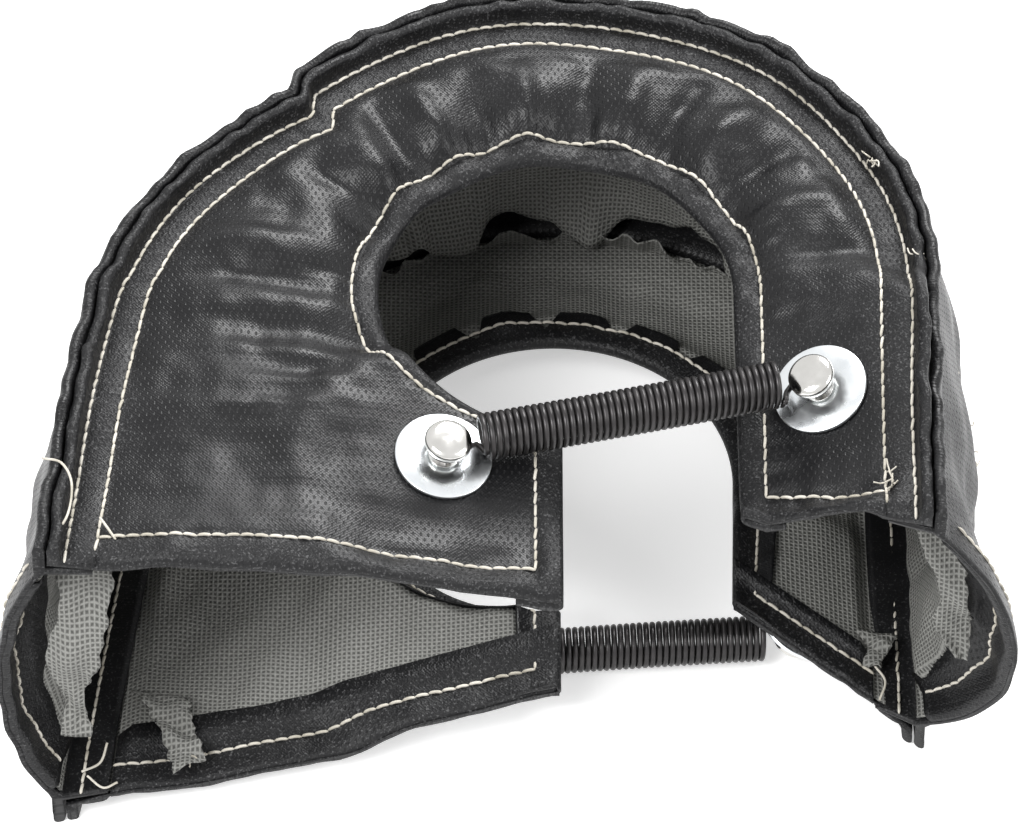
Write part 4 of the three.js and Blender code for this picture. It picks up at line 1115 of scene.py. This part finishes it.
def make_stud(name, seat, finish):
    """Lacing stud: clinched foot, shank, waisted neck and domed head."""
    neck_low, neck_high = NECK_ENDS
    dome = [
        (HEAD_RADIUS - 0.5 + 0.5 * math.sin(a), neck_high + 0.5 - 0.5 * math.cos(a))
        for a in np.linspace(0, np.pi / 2, 5)
    ]
    crown = [
        (HEAD_RADIUS * math.cos(a) ** 0.55, neck_high + 1.3 + (HEAD_TOP - neck_high - 1.3) * math.sin(a))
        for a in np.linspace(0, np.pi / 2 - 0.02, 12)
    ]
    profile = [
        (0.02, CLINCH_ENDS[0]),
        (CLINCH_RADIUS * 0.6, CLINCH_ENDS[0] + 0.1),
        (CLINCH_RADIUS, CLINCH_ENDS[1] - 0.6),
        (CLINCH_RADIUS, CLINCH_ENDS[1]),
        (SHANK_RADIUS, CLINCH_ENDS[1]),
        (SHANK_RADIUS, neck_low),
        (NECK_RADIUS + 0.9, neck_low),
        (NECK_RADIUS + 0.9, neck_low + 0.5),
        (NECK_RADIUS, neck_low + 1.1),
        (NECK_RADIUS, neck_high - 0.3),
        (NECK_RADIUS + 0.3, neck_high),
        *dome,
        *crown,
    ]
    grid = turned_grid(seat, profile, STUD_SIDES)
    return make_piece(name, *skin([grid]), finish, "stud")


def make_spring(face, finish):
    """Close coils between two studs with a hook round each neck.

    The coils are a helix about the line between the hooks: the line's point plus the
    coil's radius times the cosine and sine of the turn.
    """
    left, right = face.seats
    start = np.array(left.at) + normal_of(left) * HOOK_HEIGHT
    end = np.array(right.at) + normal_of(right) * HOOK_HEIGHT
    axis = unit(end - start)
    up = np.array([0, 0, float(face.side)])
    up = unit(up - up @ axis * axis)
    beside = np.cross(axis, up)
    length = np.linalg.norm(end - start) - 2 * SPRING_START
    turns = round(length / SPRING_PITCH)
    share = np.linspace(0, 1, turns * 22 + 1)[:, None]
    turn = 2 * np.pi * turns * share
    sway = 0.35 * np.sin(np.pi * share) * up
    radial = beside * np.cos(turn) + up * np.sin(turn)
    centre = start + up * SPRING_LIFT + axis * (SPRING_START + length * share) - sway
    coils = tube_rings(centre + COIL_RADIUS * radial, WIRE_RADIUS, radial, 10)
    grids = [coils]
    for seat, toward, first in ((left, axis, True), (right, -axis, False)):
        normal = normal_of(seat)
        ahead = unit(toward - toward @ normal * normal)
        side = np.cross(normal, ahead)
        angle = np.radians(np.linspace(-40, 330, 40))[:, None]
        neck = np.array(seat.at) + normal * HOOK_HEIGHT
        loop = neck + HOOK_RADIUS * (ahead * np.cos(angle) + side * np.sin(angle))
        coil_end = coils.mean(1)[0 if first else -1]
        bend = np.linspace(0, 1, 9)[1:, None]
        lead = mix(loop[-1], neck + ahead * HOOK_END, ease(bend, 0, 0.6))
        lead = mix(lead, coil_end, ease(bend, 0.35, 1))
        path = np.concatenate([loop, lead])
        grids.append(tube_rings(path, WIRE_RADIUS, normal + 0.01, 10))
    piece = make_piece(f"{face.name}_coil_spring", *skin(grids), finish, "spring")
    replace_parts(piece, f"{face.name}_spring")


# Finishes


class Finish:
    """A node material built step by step."""

    def __init__(self, name):
        self.material = bpy.data.materials.new(name)
        self.material.use_nodes = True
        self.tree = self.material.node_tree
        self.shader = self.tree.nodes["Principled BSDF"]

    def node(self, kind, **settings):
        made = self.tree.nodes.new(kind)
        for key, value in settings.items():
            setattr(made, key, value)
        return made

    def link(self, output, target):
        if isinstance(output, (int, float, tuple)):
            target.default_value = output
        else:
            self.tree.links.new(output, target)

    def math(self, operation, first, second=0.0, third=0.0):
        made = self.node("ShaderNodeMath", operation=operation)
        for value, socket in zip((first, second, third), made.inputs):
            self.link(value, socket)
        return made.outputs[0]

    def ramp(self, value, low, high, low_value=0.0, high_value=1.0):
        made = self.node("ShaderNodeMapRange", interpolation_type="SMOOTHSTEP")
        ends = {"From Min": low, "From Max": high, "To Min": low_value, "To Max": high_value}
        for name, number in ends.items():
            made.inputs[name].default_value = number
        self.link(value, made.inputs["Value"])
        return made.outputs["Result"]

    def colours(self, share, low, high):
        """Blend of two colours, each three numbers or another node's output."""
        made = self.node("ShaderNodeMix", data_type="RGBA")
        for value, place in ((share, 0), (low, 6), (high, 7)):
            self.link((*value, 1) if isinstance(value, tuple) else value, made.inputs[place])
        return made.outputs[2]

    def noise(self, scale, detail=2.0, vector=None, roughness=0.5):
        made = self.node("ShaderNodeTexNoise")
        made.inputs["Scale"].default_value = scale
        made.inputs["Detail"].default_value = detail
        made.inputs["Roughness"].default_value = roughness
        self.link(vector or self.object_space(), made.inputs["Vector"])
        return made.outputs["Fac"]

    def object_space(self):
        return self.node("ShaderNodeTexCoord").outputs["Object"]

    def weave_axes(self):
        """The weave's two coordinates in millimetres, from the piece's own UV map."""
        uv = self.node("ShaderNodeUVMap", uv_map="weave").outputs["UV"]
        split = self.node("ShaderNodeSeparateXYZ")
        self.link(uv, split.inputs[0])
        return [self.math("MULTIPLY", split.outputs[k], UV_UNIT) for k in (0, 1)]

    def wave(self, value, pitch, phase=0.0):
        """Cosine of a coordinate with the given pitch."""
        return self.math("COSINE", self.math("MULTIPLY_ADD", value, 2 * math.pi / pitch, phase))

    def bump(self, height, strength, distance):
        made = self.node("ShaderNodeBump")
        made.inputs["Strength"].default_value = strength
        made.inputs["Distance"].default_value = distance
        self.link(height, made.inputs["Height"])
        self.tree.links.new(made.outputs["Normal"], self.shader.inputs["Normal"])

    def set(self, **values):
        for name, value in values.items():
            self.link(value, self.shader.inputs[name.replace("_", " ")])


def coated_cloth():
    """Black coated glass cloth: offset rows of pits, a fine weave, and where it is matt a light speckle that
    is partly worn coating and partly painted glints off its threads.
    """
    finish = Finish("coated_cloth")
    u, v = finish.weave_axes()
    pits = finish.ramp(finish.math("MULTIPLY", finish.wave(u, 1.9), finish.wave(v, 3.5)), 0.45, 0.95)
    ribs = finish.math("MULTIPLY", finish.wave(u, 0.95), finish.wave(v, 0.875))
    matt = finish.node("ShaderNodeAttribute", attribute_name="matt").outputs["Fac"]
    clouds = finish.noise(55, 4)
    grain = finish.noise(1500, 2)
    # Mask of the matt seam strips, hems and leg ends, with cloudy patches: it roughens the cloth and places
    # the speckle.
    wear_and_glint_mask = finish.ramp(finish.math("ADD", finish.math("MULTIPLY", matt, 0.35), clouds), 0.45, 0.95)
    # Speckle: fine light grains, partly the worn coating's threads and partly painted glints off those
    # threads.
    wear_and_glint_speckle = finish.math("MULTIPLY", finish.ramp(grain, 0.56, 0.72), wear_and_glint_mask)
    base = finish.colours(clouds, (0.0035, 0.0035, 0.004), (0.010, 0.010, 0.011))
    # The 0.09 grey of the speckle over the near-black base is partly painted glint.
    wear_and_glint_colour = finish.colours(wear_and_glint_speckle, base, (0.09, 0.09, 0.092))
    rough = finish.math("MULTIPLY_ADD", wear_and_glint_mask, 0.2, 0.3)
    rough = finish.math("MULTIPLY_ADD", pits, 0.2, rough)
    finish.set(Base_Color=wear_and_glint_colour, Roughness=rough, Specular_IOR_Level=0.3)
    height = finish.math("MULTIPLY_ADD", pits, -0.8, finish.math("MULTIPLY", ribs, 0.18))
    coarse = finish.math("MULTIPLY_ADD", wear_and_glint_mask, 1.6, 0.5)
    height = finish.math("ADD", height, finish.math("MULTIPLY", grain, coarse))
    finish.bump(height, 0.55, 0.00022)
    return finish.material


def woven_liner():
    """Grey plain weave with dark gaps between its threads."""
    finish = Finish("woven_liner")
    u, v = finish.weave_axes()
    warp = finish.wave(u, 1.25)
    weft = finish.wave(v, 1.25)
    threads = finish.math("MAXIMUM", warp, weft)
    crossing = finish.math("MULTIPLY", finish.wave(u, 2.5), finish.wave(v, 2.5))
    height = finish.math("MULTIPLY_ADD", crossing, 0.35, threads)
    clouds = finish.noise(60, 4)
    fibre = finish.noise(2400, 2)
    relief = finish.ramp(height, -0.7, 1.1, 0, 0.75)
    tone = finish.math("ADD", relief, finish.math("MULTIPLY", fibre, 0.3))
    tone = finish.math("MULTIPLY", tone, finish.ramp(clouds, 0.2, 0.8, 0.75, 1.0))
    colour = finish.colours(tone, (0.055, 0.055, 0.05), (0.34, 0.34, 0.32))
    finish.set(Base_Color=colour, Roughness=0.75)
    finish.bump(height, 0.8, 0.00025)
    return finish.material


def felt_wool():
    """Off-white needled felt."""
    finish = Finish("felt_wool")
    fibre = finish.noise(900, 6)
    colour = finish.colours(fibre, (0.45, 0.42, 0.34), (0.8, 0.76, 0.66))
    finish.set(Base_Color=colour, Roughness=0.95)
    finish.bump(fibre, 0.5, 0.0006)
    return finish.material


def sewing_thread():
    """Off-white twisted thread, a little soiled."""
    finish = Finish("sewing_thread")
    fibre = finish.noise(3000, 2)
    soil = finish.noise(120, 3)
    colour = finish.colours(finish.ramp(soil, 0.3, 0.7), (0.44, 0.41, 0.34), (0.78, 0.74, 0.66))
    finish.set(Base_Color=colour, Roughness=0.8)
    finish.bump(fibre, 0.5, 0.0002)
    return finish.material


def zinc_plate():
    """Bright zinc plate with fine scratches and a cloudy sheen."""
    finish = Finish("zinc_plate")
    clouds = finish.noise(140, 4)
    scratches = finish.noise(1800, 2)
    colour = finish.colours(clouds, (0.74, 0.78, 0.81), (0.88, 0.9, 0.91))
    rough = finish.ramp(clouds, 0.3, 0.7, 0.22, 0.36)
    finish.set(Base_Color=colour, Metallic=1.0, Roughness=rough)
    finish.bump(scratches, 0.15, 0.00008)
    return finish.material


def nickel_plate():
    """Polished nickel with faint smudges."""
    finish = Finish("nickel_plate")
    smudge = finish.noise(220, 4)
    colour = finish.colours(smudge, (0.62, 0.61, 0.58), (0.76, 0.75, 0.73))
    rough = finish.ramp(smudge, 0.35, 0.7, 0.1, 0.24)
    finish.set(Base_Color=colour, Metallic=1.0, Roughness=rough)
    finish.bump(smudge, 0.1, 0.0001)
    return finish.material


def spring_wire():
    """Dark oiled spring wire, drawn lengthwise."""
    finish = Finish("spring_wire")
    oil = finish.noise(260, 4)
    colour = finish.colours(oil, (0.03, 0.029, 0.03), (0.068, 0.064, 0.064))
    rough = finish.ramp(oil, 0.3, 0.75, 0.3, 0.48)
    finish.set(Base_Color=colour, Metallic=0.75, Roughness=rough)
    finish.bump(finish.noise(2500, 2), 0.2, 0.0001)
    return finish.material


# Stage


def seen_rays(tree):
    """1 for the rays that see the white surround: from the camera, off metal and through glass."""
    path = tree.nodes.new("ShaderNodeLightPath")
    seen = path.outputs["Is Camera Ray"]
    for name in ("Is Glossy Ray", "Is Transmission Ray"):
        either = tree.nodes.new("ShaderNodeMath")
        either.operation = "MAXIMUM"
        tree.links.new(seen, either.inputs[0])
        tree.links.new(path.outputs[name], either.inputs[1])
        seen = either.outputs[0]
    return seen


def make_stage():
    """A pale floor that keeps the shadow, soft lamps, and a white surround."""
    mesh = bpy.data.meshes.new("floor")
    corners = [(x * FLOOR_HALF, y * FLOOR_HALF, 0) for x, y in ((-1, -1), (1, -1), (1, 1), (-1, 1))]
    mesh.from_pydata(corners, [], [(0, 1, 2, 3)])
    floor = bpy.data.objects.new("floor", mesh)
    bpy.context.scene.collection.objects.link(floor)
    finish = Finish("pale_floor")
    finish.set(Base_Color=(0.9, 0.9, 0.9, 1), Roughness=0.9)
    glow = finish.node("ShaderNodeEmission")
    glow.inputs["Color"].default_value = (1, 1, 1, 1)
    strength = finish.math("MULTIPLY", seen_rays(finish.tree), FLOOR_GLOW)
    finish.link(strength, glow.inputs["Strength"])
    total = finish.node("ShaderNodeAddShader")
    finish.link(finish.shader.outputs[0], total.inputs[0])
    finish.link(glow.outputs[0], total.inputs[1])
    output = finish.tree.nodes["Material Output"]
    finish.link(total.outputs[0], output.inputs["Surface"])
    mesh.materials.append(finish.material)

    world = bpy.data.worlds.new("surround")
    bpy.context.scene.world = world
    world.use_nodes = True
    tree = world.node_tree
    background = tree.nodes["Background"]
    background.inputs["Color"].default_value = (1, 1, 1, 1)
    strength = tree.nodes.new("ShaderNodeMapRange")
    strength.inputs["To Min"].default_value = SURROUND_LIGHT
    strength.inputs["To Max"].default_value = 1.0
    tree.links.new(seen_rays(tree), strength.inputs["Value"])
    tree.links.new(strength.outputs["Result"], background.inputs["Strength"])

    for name, place, power in LAMPS:
        lamp = bpy.data.lights.new(name, "AREA")
        lamp.energy = power
        lamp.size = LAMP_SIZE
        holder = bpy.data.objects.new(name, lamp)
        holder.location = place
        holder.rotation_mode = "QUATERNION"
        aim = Vector(LAMP_TARGET) - Vector(place)
        holder.rotation_quaternion = aim.to_track_quat("-Z", "Y")
        bpy.context.scene.collection.objects.link(holder)


def make_camera():
    """The photograph's view: from the front, well above the horizon, with a long lens."""
    elevation = math.radians(VIEW_ELEVATION)
    data = bpy.data.cameras.new("camera")
    data.lens = VIEW_LENS
    data.sensor_width = 36
    data.clip_end = 20
    camera = bpy.data.objects.new("camera", data)
    back = Vector((0, -math.cos(elevation), math.sin(elevation)))
    camera.location = Vector(VIEW_TARGET) + back * VIEW_DISTANCE
    camera.rotation_mode = "QUATERNION"
    camera.rotation_quaternion = (-back).to_track_quat("-Z", "Y")
    bpy.context.scene.collection.objects.link(camera)
    bpy.context.scene.camera = camera


def build():
    """Makes every piece."""
    cloth, liner, felt, thread = coated_cloth(), woven_liner(), felt_wool(), sewing_thread()
    zinc, nickel, wire = zinc_plate(), nickel_plate(), spring_wire()
    for face in (UPPER, LOWER):
        make_face_cloth(face, cloth)
        make_face_felt(face, felt)
        make_face_liner(face, liner)
        make_spring(face, wire)
        make_threads(f"{face.name}_stitching", face_stitches(face), thread)
    make_band_cloth(cloth)
    make_band_felt(felt)
    make_band_liner(liner)
    make_threads("band_stitching", band_stitches(), thread)
    make_threads("loose_threads", loose_ends(), thread)
    for name, seat in SEATS.items():
        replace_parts(make_stud(f"{name}_lacing_stud", seat, nickel), f"{name}_stud")
        plate = make_washer(f"{name}_face_plate", seat, WASHER_RADIUS, WASHER_FACES, zinc)
        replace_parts(plate, f"{name}_washer")
        inner = make_washer(
            f"{name}_inner_plate", seat, BACK_WASHER_RADIUS, BACK_WASHER_FACES, zinc
        )
        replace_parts(inner, f"{name}_back_washer")


build()
make_stage()
make_camera()
bpy.context.scene.view_settings.view_transform = "Standard"
